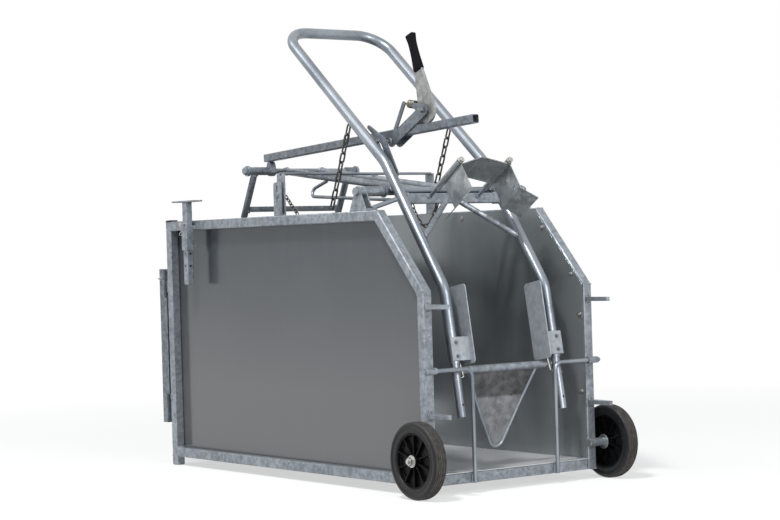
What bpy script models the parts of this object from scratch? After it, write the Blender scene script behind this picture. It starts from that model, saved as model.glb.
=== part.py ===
"""Sheep turnover crate: a wheeled pen of square tube and sheet with a tipping neck frame."""
import math

import bmesh
import bpy
from mathutils import Matrix, Vector

# Running gap between touching pieces, and the overlap of pieces welded into one
FIT = 0.0003
WELD = 0.001

# Crate: outer size, tube and sheet
CRATE_WIDTH = 0.720
CRATE_LENGTH = 1.620
RAIL_TOP = 0.930
FRONT_POST_TOP = 0.663
CHAMFER_RUN = 0.240
RAIL_UNDERSIDE = 0.0335
TUBE = 0.035
TUBE_EDGE = 0.003
SHEET = 0.002
SHEET_INSET = 0.006
POST_CAP_HEIGHT = 0.006
POST_CAP_EDGE = 0.0024
BEARER_SPACING = 0.540

# Wheels, axles and the bosses that carry them
WHEEL_DIAMETER = 0.250
WHEEL_WIDTH = 0.048
TYRE_SECTION = 0.036
TYRE_SHOULDER = 0.010
TYRE_SHOULDER_CUT = 0.003
HUB_BOSS_DIAMETER = 0.040
HUB_WEB = 0.014
HUB_RIM = 0.006
HUB_RIBS = 10
HUB_RIB_WIDTH = 0.004
AXLE_DIAMETER = 0.014
AXLE_BOSS_DIAMETER = 0.028
AXLE_BOSS_LENGTH = 0.052
AXLE_BOSS_INSET = 0.004
AXLE_WASHER_DIAMETER = 0.050
AXLE_WASHER = 0.003
AXLE_NUT_WIDTH = 0.024
AXLE_NUT_HEIGHT = 0.012
AXLE_THREAD_OUT = 0.006

# Front guards, and the lugs that reach forward from the front posts
GUARD_ROD = 0.014
GUARD_HALF_SPACING = 0.177
GUARD_BEND = 0.030
GUARD_HEIGHT = 0.405
GUARD_FOOT = 0.030
GUARD_SLEEVE_DIAMETER = 0.022
GUARD_SLEEVE_OUT = 0.008
LUG_HEIGHTS = (0.262, 0.612)
LUG_LENGTH = 0.105
LUG_EYE = 0.034
LUG_ROOT = 0.010
LUG_TIP = 0.016
LUG_THICKNESS = 0.014

# Jack post on the left side near the rear
JACK_Y = 1.425
JACK_SLEEVE = 0.036
JACK_SLEEVE_WALL = 0.0035
JACK_SLEEVE_DROP = 0.018
JACK_SLEEVE_LENGTH = 0.094
JACK_RISE = 0.070
JACK_LENGTH = 0.310
JACK_FOOT_LENGTH = 0.160
JACK_FOOT_WIDTH = 0.040
JACK_FOOT = 0.005
JACK_HOLE_PITCH = 0.046
PIN_DIAMETER = 0.008
PIN_REACH = 0.029

# Rear gate, hung on two gudgeons and shut by a slide bolt
GATE_LOW = 0.160
GATE_HIGH = 0.750
GATE_TUBE = 0.033
GATE_SIDE_GAP = 0.004
GATE_SHEET_LAP = 0.004
HINGE_OFFSET = 0.020
HINGE_PIN = 0.012
HINGE_SLEEVE = 0.022
HINGE_SLEEVE_HEIGHT = 0.045
HINGE_PLATE = 0.006
HINGE_INSET = 0.090
LATCH_HEIGHT = 0.480
LATCH_ROD = 0.012
LATCH_EYE = 0.020
LATCH_INNER_X = 0.200
LATCH_TRAVEL = 0.024
KEEPER_MARGIN = 0.014
KEEPER_PLATE = 0.006

# Hoop: one bent pipe that is both the handle and the legs of the neck frame
HOOP_DIAMETER = 0.038
HOOP_HALF_WIDTH = 0.215
HOOP_FOOT_Z = 0.420
HOOP_LOW_BEND = (0.075, 0.665)
HOOP_HIGH_BEND = (0.383, 1.098)
HOOP_TOP = (0.985, 1.598)
HOOP_LEG_LEAN = math.radians(80.0)
HOOP_LOW_RADIUS = 0.120
HOOP_HIGH_RADIUS = 0.160
HOOP_CORNER_RADIUS = 0.105
HOOP_WALL = 0.003
HOOP_SIDES = 12

# Pivot of the neck frame, and its two bearings on the top rails
SHAFT_DIAMETER = 0.027
SHAFT_HALF_LENGTH = 0.368
PIVOT_ALONG_LEG = 0.429
BEARING_DIAMETER = 0.034
BEARING_INNER_X = 0.252
COLLAR_DIAMETER = 0.042
COLLAR_WIDTH = 0.006
BEARING_BASE = 0.096
BEARING_PLATE = 0.005
STOP_ROD = 0.016
STOP_Y = 0.288
STOP_RISE = 0.028
STOP_CLEARANCE = 0.010

# Rests on the top rails, with notches that carry the neck frame's rest rod
REST_Y = 0.850
REST_ROD = 0.010
REST_WIDTH = 0.046
REST_PLATE = 0.006
REST_GAP = 0.016
REST_NOTCH_PLAY = 0.004
REST_OUTER_DROP = 0.030
REST_SLOT = (0.008, 0.024)
REST_BOLT = 0.010
REST_BOLT_HEAD = 0.016
REST_CORNER = 0.010
REST_BOLT_Z = 1.000

# Neck frame: members between the hoop's legs and back along the crate
CROSS_MEMBER = (0.300, 0.968)
STRUT_DIAMETER = 0.020
STRUT_FOOT_Z = 0.825
STRUT_TOP_X = 0.015
LONG_TUBE = 0.027
LONG_TUBE_X = 0.080
REAR_SHAFT = (1.204, 1.105)
REAR_SHAFT_DIAMETER = 0.020
REAR_SHAFT_HALF = 0.250
STAY_ROD = 0.012
STAY_X = 0.100
STAY_KNEE = (1.070, 1.006)
STAY_FOOT_Z = 0.960
STAY_HEAD_Y = 0.920
LEG_STUB = 0.0315
LEG_STUB_LOW = 0.248
LEG_STUB_INSIDE = 0.055
LEG_STUB_HOLE_Z = 0.287

# Headrest: a folded trough on two sleeves that slide on rods
HEADREST_ROD = 0.012
HEADREST_ROD_X = 0.1045
HEADREST_SLEEVE = 0.022
HEADREST_SLEEVE_LENGTH = 0.155
HEADREST_TIP = (0.1125, 1.085)
HEADREST_ROOT = (0.289, 0.969)
HEADREST_ROD_OUT = 0.012
HEADREST_LENGTH = 0.114
HEADREST_SHEET = 0.003
HEADREST_RIDGE = 0.030
HEADREST_SIDE = 0.098
HEADREST_FLANGE = 0.056
HEADREST_FLANGE_DROP = 0.042

# Neck yoke: two plates on the legs, a cross tube and the chest plate below
NECK_PLATE = 0.004
NECK_PLATE_X = 0.162
NECK_PLATE_LOW = -0.252
NECK_PLATE_HIGH = 0.010
NECK_PLATE_WIDTH = 0.088
NECK_PLATE_CORNER = 0.012
NECK_TAB_LENGTH = 0.090
NECK_TAB_OUT = 0.236
YOKE_TUBE = 0.026
YOKE_TUBE_AT = (0.046, 0.398)
CHEST_SHEET = 0.003
CHEST_ROD = 0.010
CHEST_TOP = (0.1416, 0.0485, 0.389)
CHEST_FOLD = (0.099, 0.073, 0.297)
CHEST_APEX = (0.000, 0.104, 0.116)
CHEST_APEX_RADIUS = 0.028

# Rump bar: two hanging posts and a cross bar on sleeves about the rear shaft
RUMP_SLEEVE = 0.030
RUMP_COLLAR = 0.039
RUMP_SLEEVE_LOW_X = 0.150
RUMP_SLEEVE_HIGH_X = 0.240
RUMP_POST = 0.025
RUMP_POST_X = 0.2125
RUMP_POST_LENGTH = 0.190
RUMP_LEAN = math.radians(27.0)
RUMP_BAR = 0.020
RUMP_BAR_DOWN = 0.157
CRANK_THICKNESS = 0.022
CRANK_WIDTH = 0.026
CRANK_DISC = 0.038

# Clamp: a beam that the lever's cam pushes back along its own length
BEAM = 0.029
BEAM_X = -0.140
BEAM_REAR = (1.235, 1.154)
BEAM_FRONT = (-0.022, 1.217)
CHEEK = 0.005
CHEEK_WIDTH = 0.040
KNEE_RADIUS = 0.0133
KNEE_NUT = 0.017
ROLLER_Y = 0.420
ROLLER_DIAMETER = 0.022
LEVER_PIVOT = (0.236, 1.262)
LEVER_ELBOW = (0.274, 1.394)
LEVER_TOP = (0.318, 1.523)
LEVER_THICKNESS = 0.010
LEVER_WIDTH = 0.042
LEVER_NECK_WIDTH = 0.024
GRIP_WIDTH = 0.036
GRIP_THICKNESS = 0.020
SPRING_ANCHOR = (0.343, 1.292)
SPRING_HEAD = (0.290, 1.284)
SPRING_DIAMETER = 0.015
SPRING_WIRE = 0.002
SPRING_TURNS = 10
LINK_BAR = 0.008
KNEE_THICKNESS = 0.006
KNEE_FOOT_SHARE = 0.900
KNEE_TOP = (0.500, 1.222)

# Chains that hang from the legs
CHAIN_WIRE = 0.006
CHAIN_WIDTH = 0.022
CHAIN_PITCH = 0.033
CHAIN_BEARING = 0.0012
CHAIN_TOPS = (0.569, 0.558)
CHAIN_LINKS = (9, 6)
CHAIN_LEAN = math.radians(23.0)

# Finishes: colour, roughness and metallic share
GALVANISED = ((0.42, 0.44, 0.46), 0.5, 0.8)
SHEET_ZINC = ((0.30, 0.33, 0.35), 0.42, 0.7)
BRIGHT_ZINC = ((0.55, 0.58, 0.60), 0.3, 0.9)
BLACK_RUBBER = ((0.02, 0.02, 0.02), 0.6, 0.0)


def unit(vector):
    """The vector at length one."""
    return Vector(vector).normalized()


def yz(x, pair):
    """A point from its x and its (y, z)."""
    return Vector((x, pair[0], pair[1]))


# The parts' own collection
while bpy.data.objects:
    bpy.data.objects.remove(bpy.data.objects[0])
parts = bpy.data.collections.new("sheep_turnover_crate")
bpy.context.scene.collection.children.link(parts)

# The origin lies on the ground at the middle of the footprint, wheels to gate keeper
AXLE_Y = WELD - AXLE_BOSS_DIAMETER / 2
HINGE_Y = CRATE_LENGTH + HINGE_OFFSET
GATE_FRONT = HINGE_Y + HINGE_SLEEVE / 2 - WELD
LATCH_Y = GATE_FRONT + GATE_TUBE + LATCH_EYE / 2 - WELD
KEEPER_REAR = LATCH_Y + KEEPER_MARGIN
MIDDLE_Y = (AXLE_Y - WHEEL_DIAMETER / 2 + KEEPER_REAR) / 2
pivots = {}


def pivot(name, point, parent="crate"):
    """An empty on a joint's axis; the point is measured from the crate's front on the ground."""
    empty = bpy.data.objects.new(name, None)
    empty.empty_display_size = 0.05
    parts.objects.link(empty)
    point = Vector(point)
    if parent in pivots:
        empty.parent = pivots[parent][0]
        empty.location = point - pivots[parent][1]
    pivots[name] = (empty, point)


def link(obj, axis):
    """Hang an object modelled in the crate's own frame on a pivot."""
    empty, point = pivots[axis]
    obj.parent = empty
    obj.location = -point


def finish(obj, name, look, axis):
    """Name a piece, give it its own material and hang it on its pivot."""
    colour, roughness, metallic = look
    obj.name = name
    obj.data.name = name
    material = bpy.data.materials.new(name)
    material.use_nodes = True
    shader = material.node_tree.nodes["Principled BSDF"]
    shader.inputs["Base Color"].default_value = (*colour, 1.0)
    shader.inputs["Roughness"].default_value = roughness
    shader.inputs["Metallic"].default_value = metallic
    obj.data.materials.clear()
    obj.data.materials.append(material)
    link(obj, axis)
    return obj


def galvanised(obj, name, axis="crate"):
    """A piece of hot-dip galvanised steel."""
    return finish(obj, name, GALVANISED, axis)


def sheet_steel(obj, name, axis="crate"):
    """A piece of plain galvanised sheet."""
    return finish(obj, name, SHEET_ZINC, axis)


def bright(obj, name, axis="crate"):
    """A piece of smooth bright pipe, bar or plated hardware."""
    return finish(obj, name, BRIGHT_ZINC, axis)


def rubber(obj, name, axis="crate"):
    """A piece of black rubber or plastic."""
    return finish(obj, name, BLACK_RUBBER, axis)


def add(bm, smooth_angle=40.0):
    """Put a bmesh in the parts as a new object, shaded smooth up to an angle."""
    mesh = bpy.data.meshes.new("piece")
    bm.to_mesh(mesh)
    bm.free()
    mesh.shade_smooth()
    mesh.set_sharp_from_angle(angle=math.radians(smooth_angle))
    obj = bpy.data.objects.new("piece", mesh)
    parts.objects.link(obj)
    return obj


def bake(obj):
    """Make what the modifiers give the object's own mesh."""
    evaluated = obj.evaluated_get(bpy.context.evaluated_depsgraph_get())
    mesh = bpy.data.meshes.new_from_object(evaluated)
    obj.modifiers.clear()
    obj.data = mesh
    return obj


def block(low, high, edge=0.0):
    """A box between two corners, with its edges taken off by the given width."""
    low, high = Vector(low), Vector(high)
    bm = bmesh.new()
    bmesh.ops.create_cube(bm, size=1.0)
    bmesh.ops.scale(bm, vec=high - low, verts=bm.verts)
    bmesh.ops.translate(bm, vec=(low + high) / 2, verts=bm.verts)
    if edge > 0.0:
        bmesh.ops.bevel(bm, geom=bm.edges[:], offset=edge, segments=1, profile=0.5,
                        affect="EDGES", material=-1)
    return add(bm)


def aim(direction, up=(0.0, 0.0, 1.0)):
    """The turn that takes +Z along a direction and keeps +Y towards up."""
    axis = unit(direction)
    side = Vector(up).cross(axis)
    if side.length < 1e-6:
        side = Vector((1.0, 0.0, 0.0))
    side.normalize()
    return Matrix((side, axis.cross(side), axis)).transposed().to_4x4()


def bar(start, end, diameter, sides=16):
    """A round bar."""
    start, end = Vector(start), Vector(end)
    bm = bmesh.new()
    bmesh.ops.create_cone(bm, cap_ends=True, segments=sides, radius1=diameter / 2,
                          radius2=diameter / 2, depth=(end - start).length)
    turn = Matrix.Translation((start + end) / 2) @ aim(end - start)
    bmesh.ops.transform(bm, matrix=turn, verts=bm.verts)
    return add(bm)


def flat_bar(start, end, width, height, up=(0.0, 0.0, 1.0), edge=0.0):
    """A bar of rectangular section; its height lies along up, its width across."""
    start, end = Vector(start), Vector(end)
    bm = bmesh.new()
    bmesh.ops.create_cube(bm, size=1.0)
    bmesh.ops.scale(bm, vec=(width, height, (end - start).length), verts=bm.verts)
    if edge > 0.0:
        bmesh.ops.bevel(bm, geom=bm.edges[:], offset=edge, segments=1, profile=0.5,
                        affect="EDGES", material=-1)
    turn = Matrix.Translation((start + end) / 2) @ aim(end - start, up)
    bmesh.ops.transform(bm, matrix=turn, verts=bm.verts)
    return add(bm)


def fillet_path(points, radius, steps=6):
    """The points of a bent rod: each corner becomes an arc of the given radius."""
    points = [Vector(point) for point in points]
    radii = radius if isinstance(radius, (list, tuple)) else [radius] * (len(points) - 2)
    path = [points[0]]
    for before, corner, after, bend in zip(points, points[1:], points[2:], radii):
        back, ahead = unit(before - corner), unit(after - corner)
        half = back.angle(ahead) / 2
        centre = corner + unit(back + ahead) * (bend / math.sin(half))
        first = corner + back * (bend / math.tan(half)) - centre
        turn_axis = first.cross(corner - centre).normalized()
        sweep = math.pi - 2 * half
        for step in range(steps + 1):
            path.append(centre + Matrix.Rotation(sweep * step / steps, 3, turn_axis) @ first)
    path.append(points[-1])
    return path


def tube_path(points, diameter, sides=12, closed=False):
    """A round rod along points: a bevelled curve, made a mesh with its caps welded on."""
    curve = bpy.data.curves.new("rod", "CURVE")
    curve.dimensions = "3D"
    curve.bevel_depth = diameter / 2
    curve.bevel_resolution = (sides - 4) // 2
    curve.use_fill_caps = True
    spline = curve.splines.new("POLY")
    spline.points.add(len(points) - 1)
    for spot, point in zip(spline.points, points):
        spot.co = (*point, 1.0)
    spline.use_cyclic_u = closed
    return meshed(curve)


def meshed(curve):
    """A curve turned into a closed mesh object."""
    guide = bpy.data.objects.new("guide", curve)
    parts.objects.link(guide)
    evaluated = guide.evaluated_get(bpy.context.evaluated_depsgraph_get())
    mesh = bpy.data.meshes.new_from_object(evaluated)
    bpy.data.objects.remove(guide)
    bm = bmesh.new()
    bm.from_mesh(mesh)
    bmesh.ops.remove_doubles(bm, verts=bm.verts, dist=0.00001)
    return add(bm)


def plate(outline, thickness, origin, across, up, windows=()):
    """A flat plate: an outline in (across, up) with windows, its mid-plane through the origin."""
    curve = bpy.data.curves.new("outline", "CURVE")
    curve.dimensions = "2D"
    curve.fill_mode = "BOTH"
    curve.extrude = thickness / 2
    for ring in (outline, *windows):
        spline = curve.splines.new("POLY")
        spline.points.add(len(ring) - 1)
        for spot, point in zip(spline.points, ring):
            spot.co = (point[0], point[1], 0.0, 1.0)
        spline.use_cyclic_u = True
    obj = meshed(curve)
    across, up = unit(across), unit(up)
    turn = Matrix((across, up, across.cross(up))).transposed().to_4x4()
    obj.data.transform(Matrix.Translation(origin) @ turn)
    return obj


def rounded(corners, radius, steps=4):
    """A closed outline whose corners are arcs."""
    corners = [Vector(corner) for corner in corners]
    count = len(corners)
    radii = radius if isinstance(radius, (list, tuple)) else [radius] * count
    ring = []
    for place, bend in enumerate(radii):
        if bend == 0.0:
            ring.append(corners[place])
            continue
        back = (corners[place - 1] - corners[place]).normalized()
        ahead = (corners[(place + 1) % count] - corners[place]).normalized()
        half = back.angle(ahead) / 2
        centre = corners[place] + (back + ahead).normalized() * (bend / math.sin(half))
        first = corners[place] + back * (bend / math.tan(half)) - centre
        last = corners[place] + ahead * (bend / math.tan(half)) - centre
        sweep = first.angle_signed(last)
        for step in range(steps + 1):
            ring.append(centre + Matrix.Rotation(-sweep * step / steps, 2) @ first)
    return ring


def inset(outline, distance):
    """A counter-clockwise outline moved inwards by a distance."""
    points = [Vector(point) for point in outline]
    ring = []
    for place, corner in enumerate(points):
        into = (corner - points[place - 1]).normalized()
        out = (points[(place + 1) % len(points)] - corner).normalized()
        first, second = Vector((-into.y, into.x)), Vector((-out.y, out.x))
        ring.append(corner + (first + second) * distance / (1.0 + first.dot(second)))
    return ring


def combine(body, others, operation):
    """Join, cut or trim a mesh with others, which are used up."""
    for other in others:
        modifier = body.modifiers.new(operation.lower(), "BOOLEAN")
        modifier.operation = operation
        modifier.solver = "EXACT"
        modifier.object = other
    bake(body)
    for other in others:
        bpy.data.objects.remove(other)
    return body


def weld(body, *others):
    """Pieces welded together into one."""
    return combine(body, others, "UNION")


def cut(body, *others):
    """A piece with others cut out of it, such as a bore or the saddle of a coped tube."""
    return combine(body, others, "DIFFERENCE")


def soften(obj, width, segments=1, angle=50.0):
    """Take off the sharp edges of a mesh."""
    modifier = obj.modifiers.new("edges", "BEVEL")
    modifier.width = width
    modifier.segments = segments
    modifier.limit_method = "ANGLE"
    modifier.angle_limit = math.radians(angle)
    return bake(obj)


def hexagon(start, end, width):
    """A hexagonal bar, its width across flats: a nut or a bolt head."""
    return bar(start, end, width / math.cos(math.pi / 6), sides=6)


def ring_bar(start, end, outer, inner, sides=20):
    """A tube with a bore right through it."""
    start, end = Vector(start), Vector(end)
    past = unit(end - start) * 0.01
    return cut(bar(start, end, outer, sides), bar(start - past, end + past, inner, sides))


def turned(profile, centre, direction, steps=28):
    """A shape turned about a line; the profile is (radius, place along the line), closed."""
    mesh = bpy.data.meshes.new("profile")
    points = [(radius, 0.0, along) for radius, along in profile]
    edges = [(place, (place + 1) % len(points)) for place in range(len(points))]
    mesh.from_pydata(points, edges, [])
    obj = bpy.data.objects.new("profile", mesh)
    parts.objects.link(obj)
    screw = obj.modifiers.new("turn", "SCREW")
    screw.steps = steps
    screw.render_steps = steps
    screw.use_merge_vertices = True
    screw.merge_threshold = 0.00001
    bake(obj)
    bm = bmesh.new()
    bm.from_mesh(obj.data)
    bpy.data.objects.remove(obj)
    bmesh.ops.recalc_face_normals(bm, faces=bm.faces)
    turn = Matrix.Translation(centre) @ aim(direction)
    bmesh.ops.transform(bm, matrix=turn, verts=bm.verts)
    return add(bm)


pivot("crate", (0.0, 0.0, 0.0))
pivots["crate"][0].location = (0.0, -MIDDLE_Y, 0.0)

SIDES = (("left", -1), ("right", 1))
ACROSS = Vector((1.0, 0.0, 0.0))
REARWARD = Vector((0.0, 1.0, 0.0))
UPWARD = Vector((0.0, 0.0, 1.0))

# Side frames: rings of square tube, with a foot under the rear post
HALF = CRATE_WIDTH / 2
POST_X = HALF - TUBE / 2
RING = [(0.0, RAIL_UNDERSIDE), (CRATE_LENGTH, RAIL_UNDERSIDE), (CRATE_LENGTH, RAIL_TOP),
        (CHAMFER_RUN, RAIL_TOP), (0.0, FRONT_POST_TOP)]
FOOT = [(CRATE_LENGTH - TUBE, RAIL_UNDERSIDE), (CRATE_LENGTH - TUBE, 0.0), (CRATE_LENGTH, 0.0)]
GUARD_Y = WELD - GUARD_SLEEVE_DIAMETER / 2
AXLE_Z = WHEEL_DIAMETER / 2
BOSS_START = HALF - TUBE + AXLE_BOSS_INSET
BOSS_END = BOSS_START + AXLE_BOSS_LENGTH
HINGE_X = HALF - GATE_SIDE_GAP - GATE_TUBE / 2
HINGE_HEIGHTS = (GATE_LOW + HINGE_INSET, GATE_HIGH - HINGE_INSET)


def strap(first, second, first_radius, second_radius, steps=6):
    """The outline of a flat strap: the hull of two circles."""
    first, second = Vector(first), Vector(second)
    run = second - first
    base = math.atan2(run.y, run.x)
    swing = math.acos((first_radius - second_radius) / run.length)
    ring = []
    for step in range(steps + 1):
        turn = base - swing + 2 * swing * step / steps
        ring.append(second + second_radius * Vector((math.cos(turn), math.sin(turn))))
    for step in range(steps + 1):
        turn = base + swing + 2 * (math.pi - swing) * step / steps
        ring.append(first + first_radius * Vector((math.cos(turn), math.sin(turn))))
    return ring


def front_lug(side, height):
    """A tapered tongue with a round root, welded to the front of a post."""
    outline = strap((0.0, LUG_ROOT), (0.0, LUG_LENGTH - LUG_TIP / 2), LUG_EYE / 2, LUG_TIP / 2)
    return plate(outline, LUG_THICKNESS, (side * POST_X, 0.0, height), ACROSS, -REARWARD)


def gudgeon(height):
    """A hinge bracket on the left rear post, with its pin standing up from a small plate."""
    half = HINGE_PIN / 2 + WELD
    tab = strap((-HINGE_X, CRATE_LENGTH), (-HINGE_X, HINGE_Y), half, half)
    pin = bar((-HINGE_X, HINGE_Y, height - WELD),
              (-HINGE_X, HINGE_Y, height + HINGE_SLEEVE_HEIGHT + HINGE_PLATE), HINGE_PIN)
    middle = height - HINGE_PLATE / 2
    return weld(plate(tab, HINGE_PLATE, (0.0, 0.0, middle), ACROSS, REARWARD), pin)


for name, side in SIDES:
    outer = [RING[0], *FOOT, *RING[2:]]
    frame = plate(outer, TUBE, (side * POST_X, 0.0, 0.0), REARWARD, UPWARD, [inset(RING, TUBE)])
    soften(frame, TUBE_EDGE)
    bores = [((side * BOSS_START, AXLE_Y, AXLE_Z), (side * BOSS_END, AXLE_Y, AXLE_Z),
              AXLE_BOSS_DIAMETER, AXLE_DIAMETER + 2 * FIT),
             ((side * (HALF - TUBE - WELD), GUARD_Y, GUARD_HEIGHT),
              (side * (HALF + GUARD_SLEEVE_OUT), GUARD_Y, GUARD_HEIGHT),
              GUARD_SLEEVE_DIAMETER, GUARD_ROD + 2 * FIT)]
    welded = [front_lug(side, height) for height in LUG_HEIGHTS]
    welded += [ring_bar(*bore) for bore in bores]
    if side < 0:
        welded += [gudgeon(height) for height in HINGE_HEIGHTS]
    galvanised(weld(frame, *welded), f"{name}_side_frame")

# Keeper on the right rear post: a plate with an open slot that takes the tip of the slide bolt
slot_half = LATCH_ROD / 2 + WELD
keeper_low, keeper_high = LATCH_HEIGHT - LATCH_EYE, LATCH_HEIGHT + LATCH_EYE
outline = [(CRATE_LENGTH - TUBE / 2, keeper_low), (KEEPER_REAR, keeper_low),
           (KEEPER_REAR, keeper_high), (LATCH_Y + slot_half, keeper_high),
           (LATCH_Y + slot_half, LATCH_HEIGHT - slot_half),
           (LATCH_Y - slot_half, LATCH_HEIGHT - slot_half), (LATCH_Y - slot_half, keeper_high),
           (CRATE_LENGTH - TUBE / 2, keeper_high)]
keeper = plate(outline, KEEPER_PLATE, (HALF + FIT + KEEPER_PLATE / 2, 0.0, 0.0), REARWARD, UPWARD)
galvanised(keeper, "latch_keeper")

# Side sheets, on the inner faces of the frames
SHEET_X = HALF - TUBE - FIT - SHEET / 2
for name, side in SIDES:
    panel = plate(inset(RING, SHEET_INSET), SHEET, (side * SHEET_X, 0.0, 0.0), REARWARD, UPWARD)
    sheet_steel(panel, f"{name}_side_sheet")

# Floor: three cross bars between the side sheets, with a sheet on them
FLOOR_HALF = SHEET_X - SHEET / 2 - FIT
BAR_LOW = RAIL_UNDERSIDE
BAR_HIGH = RAIL_UNDERSIDE + TUBE
for name, front in (("front_bar", 0.0), ("floor_bearer_front", BEARER_SPACING),
                    ("floor_bearer_rear", 2 * BEARER_SPACING), ("rear_sill", CRATE_LENGTH - TUBE)):
    low, high = (-FLOOR_HALF, front, BAR_LOW), (FLOOR_HALF, front + TUBE, BAR_HIGH)
    galvanised(block(low, high, TUBE_EDGE), name)
floor_low = (-FLOOR_HALF, 0.0, BAR_HIGH + FIT)
floor_high = (FLOOR_HALF, CRATE_LENGTH, BAR_HIGH + FIT + SHEET)
sheet_steel(block(floor_low, floor_high), "floor_sheet")

# Black caps in the tops of the rear posts
for name, side in SIDES:
    low = (side * POST_X - TUBE / 2, CRATE_LENGTH - TUBE, RAIL_TOP + FIT)
    high = (side * POST_X + TUBE / 2, CRATE_LENGTH, RAIL_TOP + FIT + POST_CAP_HEIGHT)
    rubber(block(low, high, POST_CAP_EDGE), f"{name}_post_cap")

# Wheels: axle bolt through its boss, ribbed plastic hub, rubber tyre, nut and washer
WHEEL_INNER_X = BOSS_END + AXLE_WASHER + 2 * FIT
WHEEL_OUTER_X = WHEEL_INNER_X + WHEEL_WIDTH
NUT_END = WHEEL_OUTER_X + FIT + AXLE_WASHER + AXLE_NUT_HEIGHT
RIM_RADIUS = WHEEL_DIAMETER / 2 - TYRE_SECTION


def on_axle(side, x):
    """A point on a wheel's axle."""
    return Vector((side * x, AXLE_Y, AXLE_Z))


def tyre_profile():
    """The section of a tyre with rounded shoulders, from its bead round to its bead."""
    radius, half = WHEEL_DIAMETER / 2, WHEEL_WIDTH / 2
    shoulder, bead, eased = TYRE_SHOULDER, TYRE_SHOULDER / 2, TYRE_SHOULDER_CUT
    middle = radius - TYRE_SECTION / 2
    return [(RIM_RADIUS, -half + bead), (RIM_RADIUS + bead, -half + WELD), (middle, -half),
            (radius - shoulder, -half), (radius - eased, -half + eased),
            (radius, -half + shoulder), (radius, half - shoulder),
            (radius - eased, half - eased), (radius - shoulder, half),
            (middle, half), (RIM_RADIUS + bead, half - WELD), (RIM_RADIUS, half - bead)]


def hub(side):
    """A hub with a boss, a thin web, a rim and ribs on both faces."""
    rim, boss, bore = RIM_RADIUS - FIT, HUB_BOSS_DIAMETER / 2, AXLE_DIAMETER / 2 + FIT
    half, rim_half, web = WHEEL_WIDTH / 2, WHEEL_WIDTH / 2 - TYRE_SHOULDER / 2, HUB_WEB / 2
    profile = [(bore, -half), (boss, -half), (boss, -web), (rim - HUB_RIM, -web),
               (rim - HUB_RIM, -rim_half), (rim, -rim_half), (rim, rim_half),
               (rim - HUB_RIM, rim_half), (rim - HUB_RIM, web), (boss, web), (boss, half),
               (bore, half)]
    centre = on_axle(side, (WHEEL_INNER_X + WHEEL_OUTER_X) / 2)
    body = turned(profile, centre, ACROSS)
    rib_half = rim_half - TYRE_SHOULDER / 2
    ribs = []
    for step in range(HUB_RIBS):
        turn = Matrix.Rotation(2 * math.pi * step / HUB_RIBS, 3, "X")
        start = centre + turn @ (UPWARD * (boss - WELD))
        end = centre + turn @ (UPWARD * (rim - HUB_RIM + WELD))
        ribs.append(flat_bar(start, end, HUB_RIB_WIDTH, 2 * rib_half, up=ACROSS))
    return weld(body, *ribs)


for name, side in SIDES:
    wheel = f"{name}_wheel"
    pivot(wheel, on_axle(side, WHEEL_OUTER_X))
    bolt = bar(on_axle(side, BOSS_START - FIT - WELD), on_axle(side, NUT_END + AXLE_THREAD_OUT),
               AXLE_DIAMETER)
    head = hexagon(on_axle(side, BOSS_START - FIT - AXLE_NUT_HEIGHT),
                   on_axle(side, BOSS_START - FIT), AXLE_NUT_WIDTH)
    washer = bar(on_axle(side, BOSS_END + FIT), on_axle(side, BOSS_END + FIT + AXLE_WASHER),
                 AXLE_WASHER_DIAMETER, 24)
    bright(weld(bolt, head, washer), f"{name}_axle")
    nut = weld(bar(on_axle(side, WHEEL_OUTER_X + FIT),
                   on_axle(side, WHEEL_OUTER_X + FIT + AXLE_WASHER), HUB_BOSS_DIAMETER, 24),
               hexagon(on_axle(side, WHEEL_OUTER_X + AXLE_WASHER), on_axle(side, NUT_END),
                       AXLE_NUT_WIDTH))
    bore = bar(on_axle(side, WHEEL_INNER_X), on_axle(side, NUT_END + AXLE_WASHER),
               AXLE_DIAMETER + 2 * FIT)
    bright(cut(nut, bore), f"{name}_axle_nut")
    tyre = turned(tyre_profile(), on_axle(side, (WHEEL_INNER_X + WHEEL_OUTER_X) / 2), ACROSS)
    rubber(tyre, f"{name}_tyre", wheel)
    rubber(hub(side), f"{name}_hub", wheel)

# Front guards: bent rods from the front bar out through the sleeves on the posts
for name, side in SIDES:
    path = [(side * GUARD_HALF_SPACING, GUARD_Y, RAIL_UNDERSIDE),
            (side * GUARD_HALF_SPACING, GUARD_Y, GUARD_HEIGHT),
            (side * (HALF + 2 * GUARD_SLEEVE_OUT), GUARD_Y, GUARD_HEIGHT)]
    rod = tube_path(fillet_path(path, GUARD_BEND), GUARD_ROD)
    foot = block((side * GUARD_HALF_SPACING - GUARD_ROD / 4, GUARD_Y, RAIL_UNDERSIDE + WELD),
                 (side * GUARD_HALF_SPACING + GUARD_ROD / 4, -FIT, RAIL_UNDERSIDE + GUARD_FOOT))
    bright(weld(rod, foot), f"{name}_guard")

# Jack post: a T-headed square bar that hangs by its pin in a sleeve on the left top rail
JACK_X = -HALF - FIT - JACK_SLEEVE / 2
JACK_BAR = JACK_SLEEVE - 2 * JACK_SLEEVE_WALL - 2 * FIT
JACK_SLEEVE_HIGH = RAIL_TOP - JACK_SLEEVE_DROP
JACK_SLEEVE_LOW = JACK_SLEEVE_HIGH - JACK_SLEEVE_LENGTH
JACK_HIGH = RAIL_TOP + JACK_RISE
JACK_LOW = JACK_HIGH - JACK_LENGTH
JACK_PIN_Z = JACK_SLEEVE_HIGH + FIT + PIN_DIAMETER / 2
pivot("jack_slide", (JACK_X, JACK_Y, JACK_SLEEVE_HIGH))


def jack_box(half, low, high, edge=0.0):
    """A square prism about the jack's axis."""
    return block((JACK_X - half, JACK_Y - half, low), (JACK_X + half, JACK_Y + half, high), edge)


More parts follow.
